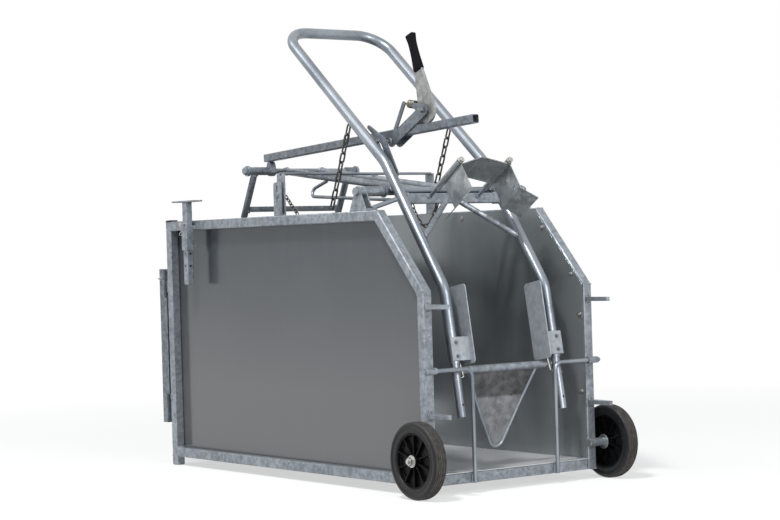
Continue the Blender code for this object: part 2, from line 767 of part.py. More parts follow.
sleeve = jack_box(JACK_SLEEVE / 2, JACK_SLEEVE_LOW, JACK_SLEEVE_HIGH, TUBE_EDGE)
bore = jack_box(JACK_BAR / 2 + FIT, JACK_SLEEVE_LOW - WELD, JACK_SLEEVE_HIGH + WELD)
galvanised(cut(sleeve, bore), "jack_sleeve")
post = jack_box(JACK_BAR / 2, JACK_LOW, JACK_HIGH, TUBE_EDGE)
head = block((JACK_X - JACK_FOOT_WIDTH / 2, JACK_Y - JACK_FOOT_LENGTH / 2, JACK_HIGH - WELD),
             (JACK_X + JACK_FOOT_WIDTH / 2, JACK_Y + JACK_FOOT_LENGTH / 2, JACK_HIGH + JACK_FOOT),
             JACK_FOOT / 4)
holes = []
for height in (JACK_PIN_Z, JACK_SLEEVE_LOW - JACK_HOLE_PITCH / 4,
               JACK_SLEEVE_LOW - JACK_HOLE_PITCH * 5 / 4):
    holes.append(bar((JACK_X - JACK_SLEEVE, JACK_Y, height), (JACK_X + JACK_SLEEVE, JACK_Y, height),
                     PIN_DIAMETER + 2 * FIT, 12))
galvanised(cut(weld(post, head), *holes), "jack_post", "jack_slide")
pin = bar((JACK_X - PIN_REACH, JACK_Y, JACK_PIN_Z),
          (-HALF - FIT, JACK_Y, JACK_PIN_Z), PIN_DIAMETER, 12)
pin_head = bar((JACK_X - PIN_REACH - PIN_DIAMETER / 2, JACK_Y, JACK_PIN_Z),
               (JACK_X - PIN_REACH + WELD, JACK_Y, JACK_PIN_Z), PIN_DIAMETER * 2, 12)
bright(weld(pin, pin_head), "jack_pin", "jack_slide")

# Rear gate: a tube frame with a mid rail, sheeted in front, on two sleeves over the gudgeons.
# Its slide bolt is drawn back, clear of the keeper.
pivot("gate_hinge", (-HINGE_X, HINGE_Y, GATE_LOW))
GATE_HALF = HALF - GATE_SIDE_GAP
GATE_MIDDLE_Y = GATE_FRONT + GATE_TUBE / 2
gate_ring = [(-GATE_HALF, GATE_LOW), (GATE_HALF, GATE_LOW), (GATE_HALF, GATE_HIGH),
             (-GATE_HALF, GATE_HIGH)]
inner = GATE_HALF - GATE_TUBE
windows = [[(-inner, low), (inner, low), (inner, high), (-inner, high)] for low, high in
           ((GATE_LOW + GATE_TUBE, LATCH_HEIGHT - GATE_TUBE / 2),
            (LATCH_HEIGHT + GATE_TUBE / 2, GATE_HIGH - GATE_TUBE))]
gate = plate(gate_ring, GATE_TUBE, (0.0, GATE_MIDDLE_Y, 0.0), ACROSS, UPWARD, windows)
soften(gate, TUBE_EDGE)
welded = []
for height in HINGE_HEIGHTS:
    welded.append(ring_bar((-HINGE_X, HINGE_Y, height + FIT),
                           (-HINGE_X, HINGE_Y, height + HINGE_SLEEVE_HEIGHT),
                           HINGE_SLEEVE, HINGE_PIN + 2 * FIT))
for start in (LATCH_INNER_X, GATE_HALF - GATE_TUBE + WELD):
    welded.append(ring_bar((start, LATCH_Y, LATCH_HEIGHT),
                           (start + GATE_TUBE - 2 * WELD, LATCH_Y, LATCH_HEIGHT),
                           LATCH_EYE, LATCH_ROD + 2 * FIT))
galvanised(weld(gate, *welded), "gate_frame", "gate_hinge")
lap = inner + GATE_SHEET_LAP
sheet_low = (-lap, GATE_FRONT - FIT - SHEET, GATE_LOW + GATE_TUBE - GATE_SHEET_LAP)
sheet_high = (lap, GATE_FRONT - FIT, GATE_HIGH - GATE_TUBE + GATE_SHEET_LAP)
sheet_steel(block(sheet_low, sheet_high), "gate_sheet", "gate_hinge")
pivot("latch_slide", (GATE_HALF, LATCH_Y, LATCH_HEIGHT), "gate_hinge")
handle_x = LATCH_INNER_X - GATE_TUBE - LATCH_TRAVEL
latch_path = [(GATE_HALF - 3 * WELD, LATCH_Y, LATCH_HEIGHT),
              (handle_x, LATCH_Y, LATCH_HEIGHT),
              (handle_x, LATCH_Y, LATCH_HEIGHT + 2 * GATE_TUBE)]
latch = tube_path(fillet_path(latch_path, LATCH_ROD * 1.5), LATCH_ROD)
bright(latch, "gate_latch", "latch_slide")

# Pivot axis of the neck frame, welded up behind the middle run of the hoop's legs
LOW_BEND, HIGH_BEND = Vector(HOOP_LOW_BEND), Vector(HOOP_HIGH_BEND)
LEG_RUN = (HIGH_BEND - LOW_BEND).normalized()
LEG_BEHIND = Vector((LEG_RUN.y, -LEG_RUN.x))
PIVOT = LOW_BEND + LEG_RUN * PIVOT_ALONG_LEG + LEG_BEHIND * (HOOP_DIAMETER + SHAFT_DIAMETER) / 2
PIVOT = PIVOT + LEG_BEHIND * FIT
pivot("neck_pivot", yz(0.0, PIVOT))

# Bearings: a sleeve on two tapered plates that stand on each top rail
for name, side in SIDES:
    sleeve = bar(yz(side * BEARING_INNER_X, PIVOT), yz(side * HALF, PIVOT), BEARING_DIAMETER, 20)
    half_base, half_top = BEARING_BASE / 2, BEARING_DIAMETER / 2 - WELD
    outline = [(PIVOT.x - half_base, RAIL_TOP + FIT), (PIVOT.x + half_base, RAIL_TOP + FIT),
               (PIVOT.x + half_top, PIVOT.y), (PIVOT.x - half_top, PIVOT.y)]
    for x in (HALF - BEARING_PLATE, HALF - TUBE + BEARING_PLATE):
        stand = plate(outline, BEARING_PLATE, (side * x, 0.0, 0.0), REARWARD, UPWARD)
        sleeve = weld(sleeve, stand)
    bore = bar(yz(side * (BEARING_INNER_X - WELD), PIVOT), yz(side * (HALF + WELD), PIVOT),
               SHAFT_DIAMETER + 2 * FIT, 20)
    galvanised(cut(sleeve, bore), f"{name}_bearing")

# Stop beside the left leg: a stub of rod on a foot on the top rail
stop_low = Vector((-POST_X, STOP_Y, RAIL_TOP + FIT))
stop_end_x = -(HOOP_HALF_WIDTH + HOOP_DIAMETER / 2 + STOP_CLEARANCE)
stop_tip = Vector((stop_end_x, STOP_Y, RAIL_TOP + STOP_ROD / 2 + STOP_RISE))
stop = bar(stop_low + UPWARD * STOP_ROD / 2, stop_tip, STOP_ROD)
foot = block(stop_low - Vector((STOP_ROD, STOP_ROD / 2, 0.0)),
             stop_low + Vector((STOP_ROD, STOP_ROD / 2, STOP_ROD / 2)))
bright(weld(stop, foot), "leg_stop")

# Hoop: one pipe bent at the corners, the upper bends and the lower bends
def leg_point(side, along, behind=0.0):
    """A point on the lower run of a leg: so far above the low bend, so far behind the axis."""
    run = Vector((math.cos(HOOP_LEG_LEAN), math.sin(HOOP_LEG_LEAN)))
    return yz(side * HOOP_HALF_WIDTH, LOW_BEND + run * along + Vector((run.y, -run.x)) * behind)


FOOT_ALONG = (HOOP_FOOT_Z - LOW_BEND.y) / math.sin(HOOP_LEG_LEAN)
route = [leg_point(-1, FOOT_ALONG), leg_point(-1, 0.0), yz(-HOOP_HALF_WIDTH, HIGH_BEND),
         yz(-HOOP_HALF_WIDTH, HOOP_TOP)]
route += [Vector((-point.x, point.y, point.z)) for point in reversed(route)]
bends = [HOOP_LOW_RADIUS, HOOP_HIGH_RADIUS, HOOP_CORNER_RADIUS]
hoop = tube_path(fillet_path(route, bends + bends[::-1], 5), HOOP_DIAMETER, HOOP_SIDES)
bores = [bar(leg_point(side, FOOT_ALONG - LEG_STUB), leg_point(side, FOOT_ALONG + LEG_STUB_INSIDE),
             LEG_STUB + 2 * FIT) for side in (-1, 1)]
bright(cut(hoop, *bores), "hoop", "neck_pivot")

# Leg stubs: tubes plugged up into the legs, each with a pin hole near its open end
STUB_LOW = (LEG_STUB_LOW - LOW_BEND.y) / math.sin(HOOP_LEG_LEAN)
STUB_HOLE = (LEG_STUB_HOLE_Z - LOW_BEND.y) / math.sin(HOOP_LEG_LEAN)
for name, side in SIDES:
    stub = bar(leg_point(side, STUB_LOW), leg_point(side, FOOT_ALONG + LEG_STUB_INSIDE - FIT),
               LEG_STUB)
    bore = bar(leg_point(side, STUB_LOW - LEG_STUB), leg_point(side, FOOT_ALONG - LEG_STUB),
               LEG_STUB - 2 * HOOP_WALL)
    hole = bar(leg_point(side, STUB_HOLE, -LEG_STUB), leg_point(side, STUB_HOLE, LEG_STUB),
               PIN_DIAMETER, 10)
    bright(cut(stub, bore, hole), f"{name}_leg_stub", "neck_pivot")

# Pivot shaft, with the collars that centre it between the bearings
shaft = bar(yz(-SHAFT_HALF_LENGTH, PIVOT), yz(SHAFT_HALF_LENGTH, PIVOT), SHAFT_DIAMETER, 20)
collars = []
for side in (-1, 1):
    near = side * (BEARING_INNER_X - FIT)
    collars.append(bar(yz(near, PIVOT), yz(near - side * COLLAR_WIDTH, PIVOT), COLLAR_DIAMETER, 20))
bright(weld(shaft, *collars), "pivot_shaft", "neck_pivot")


def leg_shape(side):
    """The middle run of a leg with its running gap: what saddles a tube that meets it."""
    return bar(yz(side * HOOP_HALF_WIDTH, LOW_BEND), yz(side * HOOP_HALF_WIDTH, HIGH_BEND),
               HOOP_DIAMETER + 2 * FIT, 24)


# Cross member between the legs, with a strut under it to each leg
leg_middle = HOOP_HALF_WIDTH - HOOP_DIAMETER / 4
member = flat_bar(yz(-leg_middle, CROSS_MEMBER), yz(leg_middle, CROSS_MEMBER), TUBE, TUBE,
                  edge=TUBE_EDGE)
struts = []
foot_y = LOW_BEND.x + (STRUT_FOOT_Z - LOW_BEND.y) * LEG_RUN.x / LEG_RUN.y
for side in (-1, 1):
    struts.append(bar((side * HOOP_HALF_WIDTH, foot_y, STRUT_FOOT_Z),
                      yz(side * STRUT_TOP_X, CROSS_MEMBER), STRUT_DIAMETER, 12))
member = weld(member, *struts)
galvanised(cut(member, leg_shape(-1), leg_shape(1)), "cross_member", "neck_pivot")

# Long tubes from the pivot shaft back to the rear shaft, with the rest rod across them
REAR = Vector(REAR_SHAFT)
TUBE_RUN = (REAR - PIVOT).normalized()
pivot("rump_pivot", yz(0.0, REAR_SHAFT), "neck_pivot")


def round_shape(centre, diameter):
    """A long cutter across the crate: what saddles a tube that meets a shaft."""
    reach = CRATE_WIDTH / 2
    return bar(yz(-reach, centre), yz(reach, centre), diameter + 2 * FIT, 24)


for name, side in SIDES:
    tube = bar(yz(side * LONG_TUBE_X, PIVOT), yz(side * LONG_TUBE_X, REAR), LONG_TUBE, 16)
    cut(tube, round_shape(PIVOT, SHAFT_DIAMETER), round_shape(REAR, REAR_SHAFT_DIAMETER))
    galvanised(tube, f"{name}_long_tube", "neck_pivot")
REST_Z = PIVOT.y + (REST_Y - PIVOT.x) * TUBE_RUN.y / TUBE_RUN.x
REST_Z += (LONG_TUBE + REST_ROD) / 2 / TUBE_RUN.x + FIT
REST_INNER_X = HALF - TUBE + REST_PLATE
rest_rod = bar((-REST_INNER_X - REST_PLATE, REST_Y, REST_Z),
               (REST_INNER_X + REST_PLATE, REST_Y, REST_Z), REST_ROD, 12)
bright(rest_rod, "rest_rod", "neck_pivot")
rear_shaft = bar(yz(-REAR_SHAFT_HALF, REAR), yz(REAR_SHAFT_HALF, REAR), REAR_SHAFT_DIAMETER, 16)
ends = [bar(yz(side * (RUMP_SLEEVE_HIGH_X + FIT), REAR), yz(side * REAR_SHAFT_HALF, REAR),
            RUMP_COLLAR, 20) for side in (-1, 1)]
ends.append(hexagon(yz(-REAR_SHAFT_HALF + WELD, REAR), yz(-REAR_SHAFT_HALF - AXLE_NUT_HEIGHT, REAR),
                    AXLE_NUT_WIDTH))
bright(weld(rear_shaft, *ends), "rear_shaft", "neck_pivot")

# Stay: a bent rod from the cross member back under the left long tube and up to it
tube_z = PIVOT.y + (STAY_HEAD_Y - PIVOT.x) * TUBE_RUN.y / TUBE_RUN.x
stay_front = (-STAY_X, CROSS_MEMBER[0] + TUBE / 2 + 3 * FIT, STAY_FOOT_Z)
stay_path = [stay_front, yz(-STAY_X, STAY_KNEE), (-LONG_TUBE_X, STAY_HEAD_Y, tube_z)]
stay = tube_path(fillet_path(stay_path, STAY_ROD * 1.5, 3), STAY_ROD, 10)
tube_gap = bar(yz(-LONG_TUBE_X, PIVOT), yz(-LONG_TUBE_X, REAR), LONG_TUBE + 2 * FIT, 24)
bright(cut(stay, tube_gap), "stay_rod", "neck_pivot")

# Rests: two plates on each top rail, the inner one notched for the rest rod
for name, side in SIDES:
    half = REST_WIDTH / 2
    seat, notch = REST_Z - REST_ROD / 2 - FIT, (REST_ROD + REST_NOTCH_PLAY) / 2
    top = REST_Z
    outline = [(REST_Y - half, RAIL_TOP + FIT), (REST_Y + half, RAIL_TOP + FIT),
               (REST_Y + half, top), (REST_Y + notch, top), (REST_Y + notch, seat),
               (REST_Y - notch, seat), (REST_Y - notch, top), (REST_Y - half, top)]
    inner_x, outer_x = REST_INNER_X, REST_INNER_X + REST_GAP
    rest = plate(outline, REST_PLATE, (side * inner_x, 0.0, 0.0), REARWARD, UPWARD)
    low = (REST_Y - half, RAIL_TOP + FIT)
    high = (REST_Y + half, top - REST_OUTER_DROP)
    outline = rounded([low, (high[0], low[1]), high, (low[0], high[1])],
                      [0, 0, REST_CORNER, REST_CORNER])
    slot = rounded([(REST_Y + dy * REST_SLOT[0] / 2, high[1] - REST_SLOT[1] + dz * REST_SLOT[1] / 2)
                    for dy, dz in ((-1, -1), (1, -1), (1, 1), (-1, 1))], REST_SLOT[0] / 2 - WELD, 2)
    other = plate(outline, REST_PLATE, (side * outer_x, 0.0, 0.0), REARWARD, UPWARD, [slot])
    base = block((side * outer_x - REST_PLATE / 2, low[0], low[1]) if side < 0 else
                 (side * inner_x - REST_PLATE / 2, low[0], low[1]),
                 (side * inner_x + REST_PLATE / 2, high[0], low[1] + REST_PLATE) if side < 0 else
                 (side * outer_x + REST_PLATE / 2, high[0], low[1] + REST_PLATE))
    bolt = bar((side * (inner_x - REST_BOLT), REST_Y, REST_BOLT_Z),
               (side * (outer_x + REST_PLATE), REST_Y, REST_BOLT_Z), REST_BOLT, 10)
    head = hexagon((side * (outer_x + REST_PLATE / 2 - WELD), REST_Y, REST_BOLT_Z),
                   (side * (outer_x + REST_PLATE * 1.5), REST_Y, REST_BOLT_Z), REST_BOLT_HEAD)
    galvanised(weld(rest, other, base, bolt, head), f"{name}_rest")

# Headrest: a folded trough welded under two sleeves that slide on rods from the cross member
HEAD_TIP, HEAD_ROOT = Vector(HEADREST_TIP), Vector(HEADREST_ROOT)
HEAD_RUN = (HEAD_TIP - HEAD_ROOT).normalized()
HEAD_OVER = Vector((HEAD_RUN.y, -HEAD_RUN.x))
pivot("headrest_slide", yz(0.0, HEAD_TIP), "neck_pivot")


def folded(path, thickness):
    """The outline of sheet folded along an open path, with mitred corners."""
    points = [Vector(point) for point in path]
    first, second = [], []
    for place, point in enumerate(points):
        into = (point - points[place - 1]).normalized() if place else None
        out = (points[place + 1] - point).normalized() if place + 1 < len(points) else None
        into, out = into or out, out or into
        a, b = Vector((-into.y, into.x)), Vector((-out.y, out.x))
        offset = (a + b) * (thickness / 2) / (1.0 + a.dot(b))
        first.append(point + offset)
        second.append(point - offset)
    return second + first[::-1]


half_trough = [(HEADREST_ROD_X + HEADREST_FLANGE, -HEADREST_SIDE - HEADREST_FLANGE_DROP),
               (HEADREST_ROD_X, -HEADREST_SIDE), (HEADREST_ROD_X, 0.0)]
fold_drop = -HEADREST_SLEEVE / 2 - HEADREST_SHEET / 2 + WELD
trough = half_trough + [(0.0, HEADREST_RIDGE)] + [(-x, n) for x, n in half_trough[::-1]]
trough = [(x, n + fold_drop) for x, n in trough]
headrest = plate(folded(trough, HEADREST_SHEET), HEADREST_LENGTH,
                 yz(0.0, HEAD_TIP - HEAD_RUN * HEADREST_LENGTH / 2), ACROSS, yz(0.0, HEAD_OVER))
sleeves, sleeve_bores = [], []
for name, side in SIDES:
    x = side * HEADREST_ROD_X
    sleeve_end = HEAD_TIP - HEAD_RUN * HEADREST_SLEEVE_LENGTH
    sleeves.append(bar(yz(x, HEAD_TIP), yz(x, sleeve_end), HEADREST_SLEEVE))
    tip = HEAD_TIP + HEAD_RUN * HEADREST_ROD_OUT
    sleeve_bores.append(bar(yz(x, tip), yz(x, HEAD_ROOT), HEADREST_ROD + 2 * FIT))
    rod = bar(yz(x, tip), yz(x, HEAD_ROOT), HEADREST_ROD)
    seat = flat_bar(yz(-HALF, CROSS_MEMBER), yz(HALF, CROSS_MEMBER), TUBE + 2 * FIT, TUBE + 2 * FIT)
    bright(cut(rod, seat), f"{name}_headrest_rod", "neck_pivot")
galvanised(cut(weld(headrest, *sleeves), *sleeve_bores), "headrest", "headrest_slide")


def at_x(point, x):
    """The same point moved across the crate."""
    return Vector((x, point.y, point.z))


# Neck plates: one inside each leg, held by a tab across the leg's front
for name, side in SIDES:
    half = NECK_PLATE_WIDTH / 2
    corners = [leg_point(side, along, behind).yz for along, behind in
               ((NECK_PLATE_LOW, -half), (NECK_PLATE_LOW, half), (NECK_PLATE_HIGH, half),
                (NECK_PLATE_HIGH, -half))]
    centre = (side * NECK_PLATE_X, 0.0, 0.0)
    neck = plate(rounded(corners, NECK_PLATE_CORNER), NECK_PLATE, centre, REARWARD, UPWARD)
    ahead = -(HOOP_DIAMETER + NECK_PLATE) / 2 - FIT
    tab_x = side * (NECK_PLATE_X + NECK_TAB_OUT) / 2
    tab_low = at_x(leg_point(side, NECK_PLATE_LOW + NECK_PLATE_CORNER, ahead), tab_x)
    tab_high = at_x(leg_point(side, NECK_PLATE_LOW + NECK_TAB_LENGTH, ahead), tab_x)
    tab = flat_bar(tab_low, tab_high, NECK_PLATE, NECK_TAB_OUT - NECK_PLATE_X, up=ACROSS)
    galvanised(weld(neck, tab), f"{name}_neck_plate", "neck_pivot")

# Yoke tube between the leg stubs, saddled against them
yoke = bar(yz(-HOOP_HALF_WIDTH + CHEST_ROD, YOKE_TUBE_AT),
           yz(HOOP_HALF_WIDTH - CHEST_ROD, YOKE_TUBE_AT), YOKE_TUBE, 18)
saddles = [bar(leg_point(side, STUB_LOW), leg_point(side, FOOT_ALONG), LEG_STUB + 2 * FIT, 24)
           for side in (-1, 1)]
galvanised(cut(yoke, *saddles), "yoke_tube", "neck_pivot")

# Chest plate: a V of sheet with one fold, and a rod bent round its edge
chest = [Vector(CHEST_TOP), Vector(CHEST_FOLD), Vector(CHEST_APEX)]
upper_run, lower_run = (chest[1] - chest[0]).yz, (chest[2] - chest[1]).yz
reach = upper_run.length + lower_run.length
above = CHEST_ROD * 2
widen = above * (chest[0].x - chest[1].x) / upper_run.length
flat = [(-chest[0].x - widen, above), (-chest[1].x, -upper_run.length), (0.0, -reach),
        (chest[1].x, -upper_run.length), (chest[0].x + widen, above)]
edge_inset = CHEST_ROD / 2 + 3 * FIT
outline = rounded(inset(flat, edge_inset), [0, 0, CHEST_APEX_RADIUS - edge_inset, 0, 0], 6)
up_run = yz(0.0, -upper_run.normalized())
chest_plate = plate(outline, CHEST_SHEET, yz(0.0, chest[0].yz), ACROSS, up_run)
bm = bmesh.new()
bm.from_mesh(chest_plate.data)
fold_line = yz(0.0, chest[1].yz)
bmesh.ops.bisect_plane(bm, geom=bm.verts[:] + bm.edges[:] + bm.faces[:], dist=0.00001,
                       plane_co=fold_line, plane_no=up_run)
below = [vert for vert in bm.verts if (vert.co - fold_line).dot(up_run) < -0.0001]
bend = upper_run.angle_signed(lower_run)
bmesh.ops.rotate(bm, cent=fold_line, matrix=Matrix.Rotation(-bend, 3, "X"), verts=below)
bm.to_mesh(chest_plate.data)
bm.free()
yoke_shape = round_shape(YOKE_TUBE_AT, YOKE_TUBE)
sheet_steel(cut(chest_plate, yoke_shape), "chest_plate", "neck_pivot")
rod_path = [at_x(chest[0], -chest[0].x), at_x(chest[1], -chest[1].x), chest[2], chest[1], chest[0]]
rod_bends = [CHEST_APEX_RADIUS * 2, CHEST_APEX_RADIUS, CHEST_APEX_RADIUS * 2]
chest_rod = tube_path(fillet_path(rod_path, rod_bends, 5), CHEST_ROD, 10)
bright(cut(chest_rod, round_shape(YOKE_TUBE_AT, YOKE_TUBE)), "chest_rod", "neck_pivot")

# Clamp beam: a square tube with open ends that slides along its own length
BEAM_END, BEAM_START = Vector(BEAM_REAR), Vector(BEAM_FRONT)
BEAM_RUN = (BEAM_END - BEAM_START).normalized()
BEAM_OVER = Vector((-BEAM_RUN.y, BEAM_RUN.x))


def off_beam(y, over):
    """A (y, z) place so far above the beam's centre line, near the given y."""
    return BEAM_START + BEAM_RUN * (y - BEAM_START.x) / BEAM_RUN.x + BEAM_OVER * over


pivot("beam_slide", yz(BEAM_X, off_beam(REAR.x, 0.0)), "neck_pivot")
beam = flat_bar(yz(BEAM_X, BEAM_START), yz(BEAM_X, BEAM_END), BEAM, BEAM, edge=TUBE_EDGE)
mouths = []
for end, way in ((BEAM_START, -1), (BEAM_END, 1)):
    mouths.append(flat_bar(yz(BEAM_X, end - BEAM_RUN * way * BEAM), yz(BEAM_X, end + BEAM_RUN * way),
                           BEAM - 2 * HOOP_WALL, BEAM - 2 * HOOP_WALL))
galvanised(cut(beam, *mouths), "clamp_beam", "beam_slide")

# Rump bar: posts, cross bar and crank on sleeves about the rear shaft
rump_down = Vector((math.sin(RUMP_LEAN), -math.cos(RUMP_LEAN)))
crank_reach = (off_beam(REAR.x, 0.0) - REAR).dot(BEAM_OVER) - BEAM / 2 - FIT
crank_top = REAR + BEAM_OVER * (crank_reach - CRANK_WIDTH / 2)
rump = plate(strap(REAR, crank_top, CRANK_DISC / 2, CRANK_WIDTH / 2), CRANK_THICKNESS,
             (BEAM_X, 0.0, 0.0), REARWARD, UPWARD)
pieces = []
sleeve_inner = -BEAM_X + CRANK_THICKNESS / 2 - WELD
pieces.append(bar(yz(-sleeve_inner, REAR), yz(-RUMP_SLEEVE_HIGH_X, REAR), RUMP_SLEEVE, 20))
pieces.append(bar(yz(RUMP_POST_X - RUMP_SLEEVE / 2, REAR), yz(RUMP_SLEEVE_HIGH_X, REAR),
                  RUMP_SLEEVE, 20))
for side in (-1, 1):
    pieces.append(bar(yz(side * RUMP_POST_X, REAR),
                      yz(side * RUMP_POST_X, REAR + rump_down * RUMP_POST_LENGTH), RUMP_POST))
cross = REAR + rump_down * RUMP_BAR_DOWN
pieces.append(flat_bar(yz(-RUMP_POST_X, cross), yz(RUMP_POST_X, cross), RUMP_BAR, RUMP_BAR))
rump = weld(rump, *pieces)
galvanised(cut(rump, round_shape(REAR, REAR_SHAFT_DIAMETER)), "rump_bar", "rump_pivot")

# Clamp head: a plate on the leg with a long bolt, and two cheeks that hold roller and lever
ROLLER = off_beam(ROLLER_Y, -BEAM / 2 - ROLLER_DIAMETER / 2 - FIT)
KNEE_X = -(HOOP_HALF_WIDTH - HOOP_DIAMETER / 2 - FIT - KNEE_THICKNESS / 2)
CHEEK_OFF = (BEAM + CHEEK) / 2 + FIT
LEVER_AXIS = Vector(LEVER_PIVOT)
pivot("lever_pivot", yz(BEAM_X, LEVER_AXIS), "neck_pivot")
knee_foot = LOW_BEND + LEG_RUN * (HIGH_BEND - LOW_BEND).length * KNEE_FOOT_SHARE
knee = plate(strap(ROLLER, KNEE_TOP, KNEE_RADIUS, KNEE_RADIUS / 2), KNEE_THICKNESS,
             (KNEE_X, 0.0, 0.0), REARWARD, UPWARD)
knee_leg = plate(strap(ROLLER, knee_foot, KNEE_RADIUS, KNEE_RADIUS), KNEE_THICKNESS,
                 (KNEE_X, 0.0, 0.0), REARWARD, UPWARD)
bolt_end = BEAM_X + CHEEK_OFF + CHEEK
knee_bolt = bar(yz(KNEE_X, ROLLER), yz(bolt_end + REST_BOLT, ROLLER), REST_BOLT, 12)
knee_nut = hexagon(yz(bolt_end, ROLLER), yz(bolt_end + REST_BOLT_HEAD / 2, ROLLER), KNEE_NUT)
galvanised(weld(knee, knee_leg, knee_bolt, knee_nut), "knee_plate", "neck_pivot")


def cheek_strap(side, first, second, first_radius, second_radius):
    """A flat strap in the plane of one cheek."""
    return plate(strap(first, second, first_radius, second_radius), CHEEK,
                 (BEAM_X + side * CHEEK_OFF, 0.0, 0.0), REARWARD, UPWARD)


half = CHEEK_WIDTH / 2
cheeks = cheek_strap(-1, ROLLER, LEVER_AXIS, half, half)
pieces = [cheek_strap(1, ROLLER, LEVER_AXIS, half, half),
          cheek_strap(-1, ROLLER, SPRING_ANCHOR, LINK_BAR, LINK_BAR),
          cheek_strap(-1, LEVER_AXIS, SPRING_HEAD, half, LINK_BAR)]
wide = CHEEK_OFF + CHEEK / 2
pieces.append(bar(yz(BEAM_X - CHEEK_OFF, ROLLER), yz(BEAM_X + CHEEK_OFF, ROLLER), ROLLER_DIAMETER))
pieces.append(bar(yz(BEAM_X - wide - CHEEK, LEVER_AXIS), yz(BEAM_X + wide + CHEEK, LEVER_AXIS),
                  REST_BOLT, 16))
for place in (SPRING_ANCHOR, SPRING_HEAD):
    pieces.append(bar(yz(BEAM_X - CHEEK_OFF, place), yz(BEAM_X + SPRING_DIAMETER / 2, place),
                      CHEEK, 10))
cheeks = weld(cheeks, *pieces)
bore = bar(yz(KNEE_X, ROLLER), yz(bolt_end + CHEEK, ROLLER), REST_BOLT + 2 * FIT, 16)
galvanised(cut(cheeks, bore), "clamp_cheeks", "neck_pivot")

# Lever: a round cam on the beam's top, an arm and a tongue that carries the grip
ELBOW, LEVER_END = Vector(LEVER_ELBOW), Vector(LEVER_TOP)
ARM_RUN, TONGUE_RUN = (ELBOW - LEVER_AXIS).normalized(), (LEVER_END - ELBOW).normalized()
cam_radius = (LEVER_AXIS - off_beam(LEVER_AXIS.x, 0.0)).dot(BEAM_OVER) - BEAM / 2 - FIT
lever = plate(strap(LEVER_AXIS, ELBOW, cam_radius, LEVER_WIDTH / 2, 12), LEVER_THICKNESS,
              (BEAM_X, 0.0, 0.0), REARWARD, UPWARD)
grip_start = ELBOW + TONGUE_RUN * (LEVER_WIDTH / 2 + FIT)
tongue = flat_bar(yz(BEAM_X, ELBOW), yz(BEAM_X, LEVER_END), LEVER_THICKNESS, LEVER_NECK_WIDTH,
                  up=REARWARD)
lever = weld(lever, tongue)
bore = bar(yz(BEAM_X - wide, LEVER_AXIS), yz(BEAM_X + wide, LEVER_AXIS), REST_BOLT + 2 * FIT)
galvanised(cut(lever, bore), "clamp_lever", "lever_pivot")
grip = flat_bar(yz(BEAM_X, grip_start), yz(BEAM_X, LEVER_END + TONGUE_RUN * GRIP_THICKNESS / 2),
                GRIP_THICKNESS, GRIP_WIDTH, up=REARWARD, edge=GRIP_THICKNESS / 4)
pocket = flat_bar(yz(BEAM_X, ELBOW), yz(BEAM_X, LEVER_END + TONGUE_RUN * FIT),
                  LEVER_THICKNESS + 2 * FIT, LEVER_NECK_WIDTH + 2 * FIT, up=REARWARD)
rubber(cut(grip, pocket), "lever_grip", "lever_pivot")

# Spring between its two pins: a helix by formula, with a flat turn of clearance to each pin
start, end = yz(BEAM_X, SPRING_ANCHOR), yz(BEAM_X, SPRING_HEAD)
run = unit(end - start)
clear = CHEEK / 2 + SPRING_WIRE / 2 + FIT
length = (end - start).length - 2 * clear
helix_radius = (SPRING_DIAMETER - SPRING_WIRE) / 2
points = []
for step in range(SPRING_TURNS * 8 + 1):
    turn = 2 * math.pi * step / 8
    round_part = aim(run).to_3x3() @ Vector((math.cos(turn), math.sin(turn), 0.0)) * helix_radius
    points.append(start + run * (clear + length * step / (SPRING_TURNS * 8)) + round_part)
spring = tube_path(points, SPRING_WIRE, 6)
bright(spring, "clamp_spring", "neck_pivot")
least = min((points[a] - points[b]).length for a in range(len(points))
            for b in range(a + 6, min(a + 11, len(points)))) - SPRING_WIRE
print(f"clamp_spring: least gap between turns {least * 1000:.2f} mm")

# Chains: oval links of bent wire, each a quarter turned from the last, bearing on each other
UPPER_RUN = (Vector(HOOP_TOP) - HIGH_BEND).normalized()
UPPER_UNDER = Vector((UPPER_RUN.y, -UPPER_RUN.x))


def chain_link(centre, run, wide_way):
    """One oval link: two half rings of wire with straight sides."""
    bend = (CHAIN_WIDTH - CHAIN_WIRE) / 2
    straight = (CHAIN_PITCH + CHAIN_WIRE) / 2 - bend
    ring = []
    for way in (1, -1):
        for step in range(5):
            turn = math.pi * step / 4
            ring.append(centre + run * way * (straight + bend * math.sin(turn))
                        + wide_way * way * bend * math.cos(turn))
    return tube_path(ring, CHAIN_WIRE, 6, closed=True)


for (name, side), top_y, count in zip(SIDES, CHAIN_TOPS, CHAIN_LINKS):
    top = HIGH_BEND + UPPER_RUN * (top_y - HIGH_BEND.x) / UPPER_RUN.x
    hoop_flat = HOOP_DIAMETER / 2 * math.cos(math.pi / HOOP_SIDES)
    end_centre = top + UPPER_UNDER * (hoop_flat + CHAIN_WIDTH / 2 + FIT)
    run = Vector((0.0, math.sin(CHAIN_LEAN), -math.cos(CHAIN_LEAN)))
    centre = yz(side * HOOP_HALF_WIDTH, end_centre)
    centre += run * (CHAIN_PITCH / 2 + CHAIN_WIRE - CHAIN_WIDTH / 2)
    links = []
    for place in range(count):
        wide_way = ACROSS if place % 2 else run.cross(ACROSS)
        links.append(chain_link(centre + run * place * (CHAIN_PITCH + CHAIN_BEARING), run, wide_way))
    galvanised(weld(*links), f"{name}_chain", "neck_pivot")
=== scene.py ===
"""Sheep turnover crate: a wheeled pen of galvanised tube and sheet with a tipping neck frame."""
import math

import bmesh
import bpy
from mathutils import Matrix, Vector


